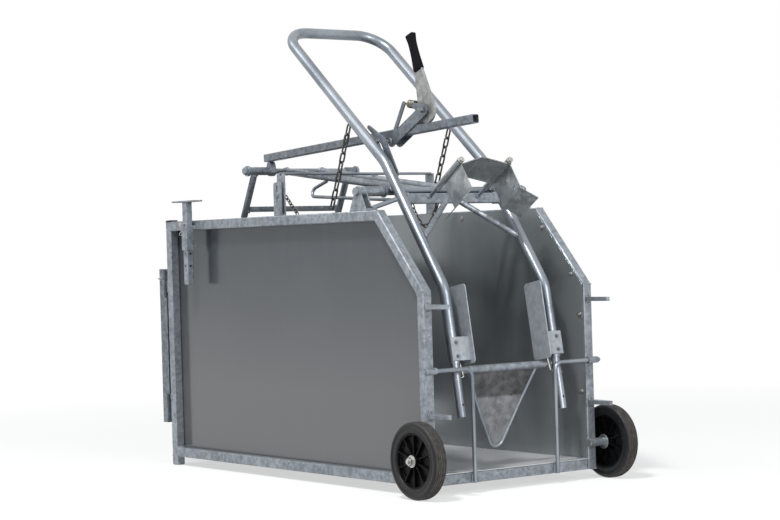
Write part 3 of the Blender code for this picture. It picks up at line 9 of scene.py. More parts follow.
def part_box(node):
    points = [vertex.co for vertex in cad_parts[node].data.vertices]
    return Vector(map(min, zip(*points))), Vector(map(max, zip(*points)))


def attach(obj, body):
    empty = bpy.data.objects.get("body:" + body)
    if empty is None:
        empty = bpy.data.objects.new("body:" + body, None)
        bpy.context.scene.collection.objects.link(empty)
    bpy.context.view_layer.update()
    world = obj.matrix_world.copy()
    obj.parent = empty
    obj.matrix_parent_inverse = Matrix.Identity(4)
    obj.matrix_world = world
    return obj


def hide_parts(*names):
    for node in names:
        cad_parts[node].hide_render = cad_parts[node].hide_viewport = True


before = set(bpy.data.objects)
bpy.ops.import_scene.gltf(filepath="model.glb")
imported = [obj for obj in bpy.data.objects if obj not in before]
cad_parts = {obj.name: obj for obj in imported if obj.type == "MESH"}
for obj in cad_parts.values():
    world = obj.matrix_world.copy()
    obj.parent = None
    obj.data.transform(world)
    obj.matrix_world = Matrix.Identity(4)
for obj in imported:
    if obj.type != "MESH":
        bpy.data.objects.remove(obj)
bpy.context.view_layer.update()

# Side frames
# Rings of 35 mm square tube with mitred, welded corners, dipped in zinc after welding. Two short
# tongues stand out of each front post, and a sleeve for the guard and a boss for the wheel bolt
# are welded on.
TUBE, HALF, RAIL_TOP = 0.035, 0.360, 0.930
MIDDLE = -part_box("front_bar")[0][1]
RING = [(0.0, 0.0335), (1.620, 0.0335), (1.620, RAIL_TOP), (0.240, RAIL_TOP), (0.0, 0.663)]
TONGUE_HEIGHTS, TONGUE_HALF_WIDE, TONGUE_HALF_TALL = (0.262, 0.612), 0.007, 0.015
AXLE_Z, BOSS_REACH, GUARD_Z, SLEEVE_REACH = 0.125, 0.014, 0.405, 0.011
FRAME_BEAD, MITRE_INSET = 0.0019, 0.0012
SIDES = (("left", -1), ("right", 1))


def at(x, y, z):
    """A point given by its distance behind the crate's front."""
    return Vector((x, y - MIDDLE, z))


def feed(tree, value, socket):
    """A socket set to a number or colour, or joined to another node's output."""
    if isinstance(value, bpy.types.NodeSocket):
        tree.links.new(value, socket)
    else:
        socket.default_value = value


def grow(tree, kind, settings=(), **inputs):
    """A shader node with its settings and inputs; an input may be another node's output."""
    node = tree.nodes.new(kind)
    for name, value in dict(settings).items():
        setattr(node, name, value)
    for name, value in inputs.items():
        feed(tree, value, node.inputs[name.replace("_", " ")])
    return node


def noise(tree, where, scale, detail, **more):
    """A cloudy grey pattern."""
    return grow(tree, "ShaderNodeTexNoise", Vector=where, Scale=scale, Detail=detail,
                **more).outputs["Fac"]


def blend_of(tree, first, second, share):
    """Two patterns or colours mixed, the second by its share."""
    return grow(tree, "ShaderNodeMixRGB", Fac=share, Color1=first, Color2=second).outputs["Color"]


def ranged(tree, value, limits, results=(0.0, 1.0)):
    """A value between two limits turned into one between two results."""
    return grow(tree, "ShaderNodeMapRange", Value=value, From_Min=limits[0], From_Max=limits[1],
                To_Min=results[0], To_Max=results[1]).outputs["Result"]


def along_axis(tree, where, axis):
    """One of the object's own coordinates."""
    return grow(tree, "ShaderNodeSeparateXYZ", Vector=where).outputs[axis]


def ramp(tree, pattern, stops):
    """A pattern turned into colours between stops."""
    node = grow(tree, "ShaderNodeValToRGB", Fac=pattern)
    elements = node.color_ramp.elements
    while len(elements) < len(stops):
        elements.new(0.5)
    for element, (place, colour) in zip(elements, stops):
        element.position = place
        element.color = (*colour, 1.0)
    return node.outputs["Color"]


def material_of(name, metallic):
    """A material with its tree, its shader and the object's own coordinates."""
    material = bpy.data.materials.new(name)
    material.use_nodes = True
    tree = material.node_tree
    shader = tree.nodes["Principled BSDF"]
    shader.inputs["Metallic"].default_value = metallic
    return material, tree, shader, tree.nodes.new("ShaderNodeTexCoord").outputs["Object"]


def finished(tree, shader, colour, roughness, height=None, strength=0.0, depth=0.0):
    """The shader's colour and roughness, and its bump where a height is given."""
    feed(tree, colour, shader.inputs["Base Color"])
    feed(tree, roughness, shader.inputs["Roughness"])
    if height is not None:
        bump = grow(tree, "ShaderNodeBump", Strength=strength, Distance=depth, Height=height)
        feed(tree, bump.outputs["Normal"], shader.inputs["Normal"])


def dipped(name, dark, light, rough, spangle=95.0, lump=0.0009, metallic=0.66, shade_above=None):
    """Hot-dip zinc: clouds, blotches and small crystal cells in greys, slightly lumpy.

    Where a height is given, it is painted darker and duller above it: painted shade.
    """
    material, tree, shader, where = material_of(name, metallic)
    clouds = noise(tree, where, 3.1, 4.0)
    blotch = noise(tree, where, 34.0, 5.0, Roughness=0.62)
    cells = grow(tree, "ShaderNodeTexVoronoi", Vector=where, Scale=spangle).outputs["Color"]
    cell_tone = grow(tree, "ShaderNodeSeparateColor", Color=cells).outputs["Red"]
    tone = blend_of(tree, blend_of(tree, blotch, clouds, 0.35), cell_tone, 0.16)
    middle = [(a + b) / 2 for a, b in zip(dark, light)]
    colour = ramp(tree, tone, [(0.34, dark), (0.5, middle), (0.64, light)])
    # Painted shade: a darker copy of the colour above the given height.
    if shade_above:
        line, shade_factor = shade_above
        shaded_share = ranged(tree, along_axis(tree, where, "Z"), (line - 0.004, line + 0.004))
        shaded_colour = ramp(tree, tone, [(0.34, [part * shade_factor * 0.7 for part in dark]),
                                 (0.64, [part * shade_factor for part in light])])
        colour = blend_of(tree, colour, shaded_colour, shaded_share)
    gloss = ranged(tree, tone, (0.35, 0.65), rough[::-1])
    grain = noise(tree, where, 420.0, 2.0)
    finished(tree, shader, colour, gloss, blend_of(tree, blotch, grain, 0.25), 0.35, lump)
    return material


def dress(node, material, edge=0.0008):
    """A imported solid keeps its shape: its corners are merged and eased, and it takes a finish."""
    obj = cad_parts[node]
    obj.data.materials.clear()
    obj.data.materials.append(material)
    obj.data.polygons.foreach_set("use_smooth", [True] * len(obj.data.polygons))
    if "custom_normal" in obj.data.attributes:
        obj.data.attributes.remove(obj.data.attributes["custom_normal"])
    merge = obj.modifiers.new("merge", "WELD")
    merge.merge_threshold = 0.00002
    flats = obj.modifiers.new("flats", "DECIMATE")
    flats.decimate_type = "DISSOLVE"
    flats.angle_limit = math.radians(0.5)
    eased = obj.modifiers.new("edges", "BEVEL")
    eased.width = edge
    eased.segments = 2
    eased.limit_method = "ANGLE"
    eased.angle_limit = math.radians(34)
    eased.harden_normals = True


def piece(name, bm, material, body, replaced=(), sharp=38.0):
    """A finished mesh as a named piece that rides on a body, and hides the imported parts it
    replaces.
    """
    bmesh.ops.recalc_face_normals(bm, faces=bm.faces)
    mesh = bpy.data.meshes.new(name)
    bm.to_mesh(mesh)
    bm.free()
    mesh.shade_smooth()
    mesh.set_sharp_from_angle(angle=math.radians(sharp))
    mesh.materials.append(material)
    obj = bpy.data.objects.new(name, mesh)
    bpy.context.scene.collection.objects.link(obj)
    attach(obj, body)
    if replaced:
        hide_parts(*replaced)
    return obj


def swept(bm, points, radius, sides=20, closed=False, swell=None):
    """A round bar: a ring of vertices extruded from point to point, then capped or joined up."""
    count = len(points)
    ring = bmesh.ops.create_circle(bm, segments=sides, radius=1.0)["verts"]
    edges = list({edge for vert in ring for edge in vert.link_edges})
    first, side, last = edges, None, Matrix.Identity(4)
    for step, point in enumerate(points):
        before = points[step - 1] if closed or step else point
        after = points[(step + 1) % count] if closed or step + 1 < count else point
        run = (after - before).normalized()
        side = run.orthogonal() if side is None else side - run * side.dot(run)
        side.normalize()
        turn = Matrix((side, run.cross(side), run)).transposed().to_4x4()
        size = radius * (swell[step] if swell else 1.0)
        place = Matrix.Translation(point) @ turn @ Matrix.Scale(size, 4)
        if step:
            grown = bmesh.ops.extrude_edge_only(bm, edges=edges)["geom"]
            ring = [part for part in grown if isinstance(part, bmesh.types.BMVert)]
            fresh = set(ring)
            edges = [part for part in grown if isinstance(part, bmesh.types.BMEdge)
                     and part.verts[0] in fresh and part.verts[1] in fresh]
        bmesh.ops.transform(bm, matrix=place @ last.inverted(), verts=ring)
        last = place
    if closed:
        bmesh.ops.bridge_loops(bm, edges=first + edges)
        return
    for rim in (first, edges):
        bmesh.ops.edgeloop_fill(bm, edges=rim)


def bead(bm, corners, radius=0.0024, closed=False):
    """A run of weld between corners: a thin bar that swells and shrinks from drop to drop."""
    corners = list(corners) + ([corners[0]] if closed else [])
    points = []
    for start, end in zip(corners, corners[1:]):
        steps = max(2, round((end - start).length / (radius * 1.3)))
        points += [start.lerp(end, step / steps) for step in range(steps)]
    if not closed:
        points.append(corners[-1])
    swell = [1.0 + 0.16 * math.sin(2.1 * step) + 0.12 * math.sin(0.7 * step)
             for step in range(len(points))]
    swept(bm, points, radius, 8, closed, swell)


def round_bead(bm, centre, axis, ring_radius, radius=0.0024):
    """A run of weld round a bar."""
    axis = Vector(axis).normalized()
    side = axis.orthogonal().normalized()
    steps = 20
    corners = [centre + Matrix.Rotation(2 * math.pi * step / steps, 3, axis) @ side * ring_radius
               for step in range(steps)]
    bead(bm, corners, radius, closed=True)


def corners_of(wide, tall):
    """The corners of a rectangle about its middle, in order, from half its width and height."""
    return [(-wide, -tall), (wide, -tall), (wide, tall), (-wide, tall)]


def mitre(outline, place, depth):
    """The weld line of a mitre on a ring of tube, from just inside its outer corner."""
    points = [Vector(point) for point in outline]
    corner = points[place]
    into = (corner - points[place - 1]).normalized()
    out = (points[(place + 1) % len(points)] - corner).normalized()
    first, second = Vector((-into.y, into.x)), Vector((-out.y, out.x))
    inner = corner + (first + second) * depth / (1.0 + first.dot(second))
    inset = (inner - corner).normalized() * MITRE_INSET
    return corner + inset, inner - inset


zinc = dipped("hot_dip_zinc", (0.15, 0.17, 0.19), (0.32, 0.35, 0.385), (0.34, 0.56))
weathered_zinc = dipped("weathered_zinc", (0.095, 0.11, 0.125), (0.215, 0.24, 0.27),
                        (0.36, 0.56))
weld_zinc = dipped("zinc_over_weld", (0.17, 0.19, 0.21), (0.34, 0.37, 0.40), (0.35, 0.55), 160.0)
for name, side in SIDES:
    dress(f"{name}_side_frame", zinc)
    bm = bmesh.new()
    deep, face = side * (HALF - TUBE * 0.8), side * (HALF - 0.0008)
    for place in range(len(RING)):
        outer, inner = mitre(RING, place, TUBE)
        bead(bm, [at(deep, *outer), at(face, *outer), at(face, *inner), at(deep, *inner)],
             FRAME_BEAD)
    middle = side * (HALF - TUBE / 2)
    for height in TONGUE_HEIGHTS:
        bead(bm, [at(middle + across, 0.0, height + up)
                  for across, up in corners_of(TONGUE_HALF_WIDE, TONGUE_HALF_TALL)], closed=True)
    for height, reach in ((AXLE_Z, BOSS_REACH), (GUARD_Z, SLEEVE_REACH)):
        for way in (-1, 1):
            bead(bm, [at(side * (HALF - 0.004), -0.001, height + way * reach),
                      at(side * (HALF - TUBE + 0.006), -0.001, height + way * reach)])
    piece(f"{name}_frame_welds", bm, weld_zinc, "crate")

# Side sheets and floor
# Smooth mill-galvanised sheet, cold rolled, so it mirrors softly with a slight wave. The sides
# are bolted to the frames' inner faces, and the floor lies on its four cross bars.
SHEET_MIDDLE = (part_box("right_side_sheet")[0][0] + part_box("right_side_sheet")[1][0]) / 2
SHEET_INNER, SHEET_BOLT = HALF - TUBE - 0.0026, (0.010, 0.004, 0.015, 0.003)
BOLT_PLACES = ((0.022, 0.30), (0.022, 0.560), (0.060, 0.700), (0.205, 0.862), (0.65, 0.905),
               (1.15, 0.905), (1.598, 0.70), (1.598, 0.35), (1.2, 0.088), (0.5, 0.088))
# Heights over which the sheet goes from painted shade at its top to dust at its foot.
SHADE_AND_DUST_FROM, SHADE_AND_DUST_FULL = 0.92, 0.30
BAR_FRONT, BAR_BACK, BAR_LOW, BAR_TOP = -0.0006, 0.0356, 0.036, 0.0665


def worked(tree, operation, *values, kind="ShaderNodeMath"):
    """A number worked out from numbers or from other nodes' outputs."""
    node = grow(tree, kind, (("operation", operation),))
    for socket, value in zip(node.inputs, values):
        feed(tree, value, socket)
    return node.outputs["Value"]


def sheeted(name, dark, light, second_colour, rough, streak, metallic, inner=None):
    """Smooth zinc sheet: faint clouds and streaks, a slow wave in it, and a colour by height: dust
    towards its foot, painted shade towards its top.

    The faces towards the sheep are painted paler: painted light on the inner faces.
    """
    material, tree, shader, where = material_of(name, metallic)
    stretched = grow(tree, "ShaderNodeMapping", Vector=where, Scale=streak).outputs["Vector"]
    tone = blend_of(tree, noise(tree, where, 2.2, 3.0), noise(tree, stretched, 26.0, 4.0), 0.22)
    colour = ramp(tree, tone, [(0.35, dark), (0.65, light)])
    # Darker towards the top and paler towards the foot: dust at the foot, painted shade under the
    # rail at the top.
    blend_share = ranged(tree, along_axis(tree, where, "Z"), (SHADE_AND_DUST_FROM, SHADE_AND_DUST_FULL))
    colour = blend_of(tree, colour, (*second_colour, 1.0), blend_share)
    # Painted light: the faces towards the inside take a paler copy of the colour.
    if inner:
        across = worked(tree, "ABSOLUTE", along_axis(tree, where, "X"))
        inside = worked(tree, "LESS_THAN", across, SHEET_MIDDLE)
        painted_light_colour = ramp(tree, tone, [(0.35, inner[0]), (0.65, inner[1])])
        colour = blend_of(tree, colour, painted_light_colour, inside)
    gloss = ranged(tree, tone, (0.3, 0.7), rough)
    finished(tree, shader, colour, gloss, noise(tree, where, 1.4, 1.0), 0.25, 0.006)
    return material


def bolt(bm, place, axis, across=0.013, head=0.006, washer=0.019, shank=0.004):
    """A hexagon head or nut on a washer, with the end of the bolt standing out of it."""
    axis = Vector(axis).normalized()
    side = axis.orthogonal().normalized()
    turn = Matrix((side, axis.cross(side), axis)).transposed().to_4x4()
    thick = 0.0016
    for sides, wide, low, high, narrow in ((24, washer, 0.0, thick, 0.97),
                                           (6, across * 1.155, thick, thick + head, 0.94),
                                           (16, across * 0.55, head, head + thick + shank, 0.8)):
        made = bmesh.ops.create_cone(bm, cap_ends=True, segments=sides, radius1=wide / 2,
                                     radius2=wide / 2 * narrow, depth=high - low)["verts"]
        shift = Matrix.Translation(Vector(place) + axis * (low + high) / 2)
        bmesh.ops.transform(bm, matrix=shift @ turn, verts=made)


def plated(name, colour, rough):
    """Bright zinc plating on bolts, pins and clips, a little yellowed and uneven."""
    material, tree, shader, where = material_of(name, 0.95)
    tone = noise(tree, where, 160.0, 3.0)
    coat = ramp(tree, tone, [(0.3, [part * 0.72 for part in colour]), (0.7, colour)])
    finished(tree, shader, coat, ranged(tree, tone, (0.0, 1.0), (rough, rough + 0.2)))
    return material


# The side sheets are painted darker towards their top, as shade under the rail, and paler at their
# dusty foot.
side_zinc = sheeted("side_sheet_zinc", (0.046, 0.056, 0.066), (0.068, 0.080, 0.090),
                    (0.140, 0.144, 0.149), (0.12, 0.2), (1.0, 1.0, 0.08), 0.45,
                    ((0.19, 0.21, 0.22), (0.25, 0.27, 0.28)))
floor_zinc = sheeted("floor_sheet_zinc", (0.52, 0.54, 0.56), (0.68, 0.70, 0.71),
                     (0.60, 0.61, 0.62), (0.25, 0.42), (1.0, 0.1, 1.0), 0.35)
bolt_zinc = plated("plated_bolts", (0.56, 0.56, 0.54), 0.24)
for name, side in SIDES:
    dress(f"{name}_side_sheet", side_zinc, 0.0003)
    bm = bmesh.new()
    for y, z in BOLT_PLACES:
        bolt(bm, at(side * SHEET_INNER, y, z), (-side, 0, 0), *SHEET_BOLT)
    piece(f"{name}_sheet_bolts", bm, bolt_zinc, "crate")
dress("floor_sheet", floor_zinc, 0.0003)
for name in ("front_bar", "floor_bearer_front", "floor_bearer_rear", "rear_sill"):
    dress(name, zinc)
bm = bmesh.new()
for y in (BAR_FRONT, BAR_BACK):
    for side in (-1, 1):
        x = side * (HALF - TUBE - 0.001)
        bead(bm, [at(x, y, BAR_LOW), at(x, y, BAR_TOP)], 0.002)
piece("front_bar_welds", bm, weld_zinc, "crate")

# Black end caps
# Moulded plastic caps pushed into the open tops of the rear posts, with a fine grain and a
# rounded rim.


def moulded(name, colour, rough, grain, depth, gloss_level=0.3):
    """Black plastic or rubber with a fine moulded grain."""
    material, tree, shader, where = material_of(name, 0.0)
    shader.inputs["Specular IOR Level"].default_value = gloss_level
    tone = noise(tree, where, grain, 3.0)
    coat = ramp(tree, tone, [(0.35, colour), (0.75, [part * 1.7 + 0.003 for part in colour])])
    gloss = ranged(tree, tone, (0.0, 1.0), (rough, rough + 0.2))
    finished(tree, shader, coat, gloss, tone, 0.4, depth)
    return material


cap_plastic = moulded("cap_plastic", (0.012, 0.012, 0.012), 0.35, 240.0, 0.0002)
for name in ("left_post_cap", "right_post_cap"):
    dress(name, cap_plastic, 0.0015)

# Wheels
# Solid rubber tyres on moulded plastic hubs with a deep web and thin ribs, on plated axle bolts
# with a wide washer and a nut. The tread is grey with dust, the side walls are clean and black.
WHEEL_RADIUS, RIM_RADIUS, WHEEL_HALF, WHEEL_X, AXLE_Y = 0.125, 0.089, 0.024, 0.4086, -0.013
SHOULDER, GROOVES, GROOVE_FLOOR = (0.1212, 0.1242), (0.0125, 0.0045), 0.1232
BORE, BOSS, WEB, HUB_RIM, RIBS, RIB_WALL = 0.0073, 0.020, 0.007, RIM_RADIUS - 0.0003, 10, 0.0034


def arc(centre, radius, start, end, steps=5):
    """Points of an arc in (across, radius), its angles in degrees."""
    turns = [math.radians(start + (end - start) * step / steps) for step in range(steps + 1)]
    return [(centre[0] + radius * math.cos(turn), centre[1] + radius * math.sin(turn))
            for turn in turns]


def spun(bm, outline, centre, steps=72):
    """A closed outline of (across, radius) turned round the axle."""
    verts = [bm.verts.new((x, 0.0, radius)) for x, radius in outline]
    edges = [bm.edges.new((verts[place - 1], verts[place])) for place in range(len(verts))]
    bmesh.ops.spin(bm, geom=verts + edges, cent=(0, 0, 0), axis=(1, 0, 0),
                   angle=2 * math.pi, steps=steps, use_merge=True)
    bmesh.ops.remove_doubles(bm, verts=bm.verts, dist=0.000001)
    bmesh.ops.translate(bm, vec=centre, verts=bm.verts)


def rolled_rubber():
    """Tyre rubber: black walls, and a tread scuffed and dusty past its shoulder."""
    material, tree, shader, where = material_of("tyre_rubber", 0.0)
    shader.inputs["Specular IOR Level"].default_value = 0.3
    off_y = worked(tree, "ADD", along_axis(tree, where, "Y"), MIDDLE - AXLE_Y)
    off_z = worked(tree, "SUBTRACT", along_axis(tree, where, "Z"), AXLE_Z)
    flat = grow(tree, "ShaderNodeCombineXYZ", Y=off_y, Z=off_z).outputs["Vector"]
    worn = ranged(tree, worked(tree, "LENGTH", flat, kind="ShaderNodeVectorMath"), SHOULDER)
    blend_share = noise(tree, where, 55.0, 6.0, Roughness=0.7)
    second_colour = ramp(tree, blend_share, [(0.3, (0.024, 0.022, 0.021)), (0.7, (0.075, 0.069, 0.064))])
    clean = ramp(tree, blend_share, [(0.3, (0.006, 0.006, 0.0065)), (0.75, (0.013, 0.013, 0.013))])
    gloss = ranged(tree, worn, (0.0, 1.0), (0.42, 0.9))
    scuff = noise(tree, where, 300.0, 4.0)
    finished(tree, shader, blend_of(tree, clean, second_colour, worn), gloss, scuff, 0.5, 0.0006)
    return material


tyre_rubber = rolled_rubber()
hub_plastic = moulded("hub_plastic", (0.0025, 0.0025, 0.003), 0.2, 180.0, 0.0001, 0.09)
tyre_half = [(WHEEL_HALF - 0.005, RIM_RADIUS), (WHEEL_HALF - 0.002, RIM_RADIUS + 0.002),
             (WHEEL_HALF - 0.0005, RIM_RADIUS + 0.006), (WHEEL_HALF - 0.0016, 0.0975),
             (WHEEL_HALF - 0.0016, 0.1085), (WHEEL_HALF, 0.1105)]
tyre_half += arc((WHEEL_HALF - 0.011, 0.1135), 0.011, 0, 62)
for x in GROOVES:
    tyre_half += [(x + 0.0012, WHEEL_RADIUS - 0.0003), (x + 0.0008, GROOVE_FLOOR),
                  (x - 0.0008, GROOVE_FLOOR), (x - 0.0012, WHEEL_RADIUS)]
tyre_outline = [(-x, radius) for x, radius in tyre_half] + tyre_half[::-1]
hub_half = [(WHEEL_HALF, BORE), (WHEEL_HALF, BOSS - 0.001), (WHEEL_HALF - 0.001, BOSS),
            (WEB + 0.002, BOSS + 0.001), (WEB, BOSS + 0.003), (WEB, 0.046), (WEB + 0.001, 0.047),
            (WEB + 0.001, 0.049), (WEB, 0.050), (WEB, HUB_RIM - 0.008),
            (WEB + 0.002, HUB_RIM - 0.006), (WHEEL_HALF - 0.006, HUB_RIM - 0.005),
            (WHEEL_HALF - 0.005, HUB_RIM - 0.003), (WHEEL_HALF - 0.005, HUB_RIM)]
hub_outline = hub_half + [(-x, radius) for x, radius in hub_half[::-1]]
for name, side in SIDES:
    centre = at(side * WHEEL_X, AXLE_Y, AXLE_Z)
    bm = bmesh.new()
    spun(bm, tyre_outline, centre, 96)
    piece(f"{name}_rubber_tyre", bm, tyre_rubber, f"{name}_wheel",
          [f"{name}_tyre"], 50)
    bm = bmesh.new()
    spun(bm, hub_outline, centre)
    for step in range(RIBS):
        rib = bmesh.ops.create_cube(bm, size=1.0)["verts"]
        bmesh.ops.scale(bm, vec=(2 * WHEEL_HALF - 0.012, RIB_WALL, HUB_RIM - BOSS - 0.001),
                        verts=rib)
        bmesh.ops.translate(bm, vec=(0, 0, (HUB_RIM + BOSS) / 2 - 0.003), verts=rib)
        turn = Matrix.Rotation(2 * math.pi * step / RIBS, 4, "X")
        bmesh.ops.transform(bm, matrix=Matrix.Translation(centre) @ turn, verts=rib)
    piece(f"{name}_plastic_hub", bm, hub_plastic, f"{name}_wheel",
          [f"{name}_hub"], 30)
    dress(f"{name}_axle", bolt_zinc, 0.0006)
    dress(f"{name}_axle_nut", bolt_zinc, 0.0006)

# Front guards
# Bent 14 mm bright rod, welded to the front bar at its foot and pushed through a sleeve on
# each front post. They keep the legs of the neck frame from swinging out of the front.
GUARD_RADIUS, GUARD_X, GUARD_Y, GUARD_FOOT, GUARD_BEND = 0.007, 0.177, -0.010, 0.0345, 0.03


def filleted(points, bend, steps=10):
    """The points of a bent bar: each corner becomes an arc."""
    points = [Vector(point) for point in points]
    bends = bend if isinstance(bend, (list, tuple)) else [bend] * (len(points) - 2)
    path = [points[0]]
    for before, corner, after, radius in zip(points, points[1:], points[2:], bends):
        back, ahead = (before - corner).normalized(), (after - corner).normalized()
        half = back.angle(ahead) / 2
        centre = corner + (back + ahead).normalized() * (radius / math.sin(half))
        first = corner + back * (radius / math.tan(half)) - centre
        axis = first.cross(corner - centre).normalized()
        for step in range(steps + 1):
            turn = Matrix.Rotation((math.pi - 2 * half) * step / steps, 3, axis)
            path.append(centre + turn @ first)
    path.append(points[-1])
    return path


def drawn(name, dark, light, rough):
    """Smooth galvanised pipe and bar: fine clouds and a soft sheen."""
    material, tree, shader, where = material_of(name, 0.85)
    fine = noise(tree, where, 130.0, 3.0)
    tone = blend_of(tree, noise(tree, where, 7.0, 5.0), fine, 0.18)
    colour = ramp(tree, tone, [(0.36, dark), (0.62, light)])
    gloss = ranged(tree, tone, (0.35, 0.65), rough[::-1])
    finished(tree, shader, colour, gloss, fine, 0.03, 0.0003)
    return material


bright = drawn("bright_pipe", (0.18, 0.205, 0.235), (0.30, 0.325, 0.36), (0.31, 0.38))
for name, side in SIDES:
    bm = bmesh.new()
    route = [at(side * GUARD_X, GUARD_Y, GUARD_FOOT), at(side * GUARD_X, GUARD_Y, GUARD_Z),
             at(side * (HALF + 0.0158), GUARD_Y, GUARD_Z)]
    swept(bm, filleted(route, GUARD_BEND), GUARD_RADIUS, 24)
    piece(f"{name}_guard_rod", bm, bright, "crate", [f"{name}_guard"])
    bm = bmesh.new()
    for way in (-1, 1):
        x = side * GUARD_X + way * 0.006
        bead(bm, [at(x, -0.0025, BAR_LOW + 0.0005), at(x, -0.0025, BAR_TOP)], 0.0028)
    piece(f"{name}_guard_welds", bm, weld_zinc, "crate")

# Jack post
# A square bar with a T head and a row of peg holes. It hangs by its pin, which a spring clip
# holds, in a sleeve that is welded to the left top rail along its edges. A second clip hangs on
# the sleeve's front.
REARWARD = Vector((0, 1, 0))
JACK_X, JACK_Y, SLEEVE_HALF, SLEEVE_LOW, SLEEVE_TOP = -0.3783, 1.425, 0.018, 0.897, 0.911
HOLE_FACE, HOLE_HEIGHTS, HOLE_RADIUS = JACK_Y - 0.0142, (0.8065, 0.7605), 0.0042
HEAD_UNDER, HEAD_HALF, HEAD_EDGE = 0.9995, 0.013, 0.0148
PIN_CLIP, SLEEVE_FACE = (JACK_X - 0.026, JACK_Y - 0.012, 0.9165), JACK_Y - SLEEVE_HALF
SLEEVE_CLIP_X, RIVET_Z, RIVET_RADIUS = JACK_X - 0.004, 0.870, 0.0034


def clip(bm, place, along, out, wire=0.0011):
    """A spring clip of bent wire: a straight leg, an eye and a waved leg beside it."""
    along, out = Vector(along).normalized(), Vector(out).normalized()
    shape = [(0.0, 0.0), (0.034, 0.0), (0.043, 0.001), (0.045, 0.008), (0.038, 0.011),
             (0.031, 0.006), (0.024, 0.0025), (0.016, 0.0055), (0.006, 0.009)]
    route = [Vector(place) + along * u + out * v for u, v in shape]
    swept(bm, filleted(route, 0.0022, 4), wire, 8)


dull_zinc = plated("weathered_bolts", (0.27, 0.285, 0.30), 0.34)
for name in ("jack_sleeve", "jack_post"):
    dress(name, zinc)
dress("jack_pin", bolt_zinc, 0.0005)
bm = bmesh.new()
for way in (-1, 1):
    y = JACK_Y + way * SLEEVE_HALF
    bead(bm, [at(-HALF - 0.0003, y, SLEEVE_LOW), at(-HALF - 0.0003, y, SLEEVE_TOP)])
piece("jack_sleeve_welds", bm, weld_zinc, "crate")
bm = bmesh.new()
clip(bm, at(*PIN_CLIP), (0, 0.35, -1), (-1, 0, 0))
piece("jack_pin_clip", bm, bolt_zinc, "jack")
bm = bmesh.new()
clip(bm, at(SLEEVE_CLIP_X, SLEEVE_FACE - 0.0016, RIVET_Z + 0.002), (0.42, 0, -1),
     (0.9, -0.35, 0.4), 0.0014)
rivet = at(SLEEVE_CLIP_X, SLEEVE_FACE - 0.0012, RIVET_Z)
swept(bm, [rivet + REARWARD * 0.004, rivet - REARWARD * 0.005], RIVET_RADIUS, 12)
piece("jack_sleeve_clip", bm, dull_zinc, "crate")
# Each peg hole is drawn as a thin black disc on the post's face: painted shade in the hole.
bm = bmesh.new()
for z in HOLE_HEIGHTS:
    rim = at(JACK_X, HOLE_FACE, z)
    swept(bm, [rim + REARWARD * 0.002, rim - REARWARD * 0.00025], HOLE_RADIUS)
piece("jack_peg_hole_shade", bm, hub_plastic, "jack")
bm = bmesh.new()
for way in (-1, 1):
    y = JACK_Y + way * HEAD_EDGE
    bead(bm, [at(JACK_X - HEAD_HALF, y, HEAD_UNDER), at(JACK_X + HEAD_HALF, y, HEAD_UNDER)],
         0.0022)
piece("jack_head_welds", bm, weld_zinc, "jack")

# Rear gate
# A frame of 33 mm square tube with a middle rail and a sheet bolted to its inner side, hung on
# two pins and shut by a slide bolt with a bent handle. A flat strip with one bolt covers its
# hinge edge, cut back where it passes the hinges.
GATE_TUBE, GATE_INNER, GATE_RAIL_EDGES = 0.033, 0.322, (0.4645, 0.4955)
GATE_RING = [(-0.356, 0.160), (0.356, 0.160), (0.356, 0.750), (-0.356, 0.750)]
GATE_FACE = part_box("gate_frame")[0][1] + 0.054
GATE_SHEET, GATE_BOLTS_X, GATE_BOLTS_Z = 1.650, (-0.2, 0.2), (0.176, 0.734)
GATE_BOLT = (0.010, 0.0035, 0.015, 0.0)
STRIP_X, STRIP_WALL = -0.3566, 0.0018
STRIP_PARTS = ((1.6505, 1.6828, 0.1605, 0.7495), (1.6315, 1.6510, 0.27, 0.64))
STRIP_BOLT_PLACE, STRIP_BOLT = (-0.3574, 1.673, 0.713), (0.009, 0.004, 0.014, 0.007)
dress("gate_frame", weathered_zinc)
dress("gate_sheet", side_zinc, 0.0003)
dress("gate_latch", bright, 0.0005)
dress("latch_keeper", zinc)
bm = bmesh.new()
for place in range(len(GATE_RING)):
    bead(bm, [Vector((x, GATE_FACE, z)) for x, z in mitre(GATE_RING, place, GATE_TUBE)],
         FRAME_BEAD)
for side in (-1, 1):
    for z in GATE_RAIL_EDGES:
        bead(bm, [Vector((side * GATE_INNER, GATE_FACE - 0.030, z)),
                  Vector((side * GATE_INNER, GATE_FACE - 0.002, z))], 0.002)
piece("gate_welds", bm, weld_zinc, "gate")
bm = bmesh.new()
for x in GATE_BOLTS_X:
    for z in GATE_BOLTS_Z:
        bolt(bm, at(x, GATE_SHEET, z), (0, -1, 0), *GATE_BOLT)
piece("gate_sheet_bolts", bm, bolt_zinc, "gate")
bm = bmesh.new()
for front, back, low, high in STRIP_PARTS:
    strip = bmesh.ops.create_cube(bm, size=1.0)["verts"]
    bmesh.ops.scale(bm, vec=(STRIP_WALL, back - front, high - low), verts=strip)
    bmesh.ops.translate(bm, vec=at(STRIP_X, (front + back) / 2, (low + high) / 2), verts=strip)
piece("gate_edge_strip", bm, weathered_zinc, "gate")
bm = bmesh.new()
bolt(bm, at(*STRIP_BOLT_PLACE), (-1, 0, 0), *STRIP_BOLT)
piece("gate_edge_bolt", bm, bolt_zinc, "gate")

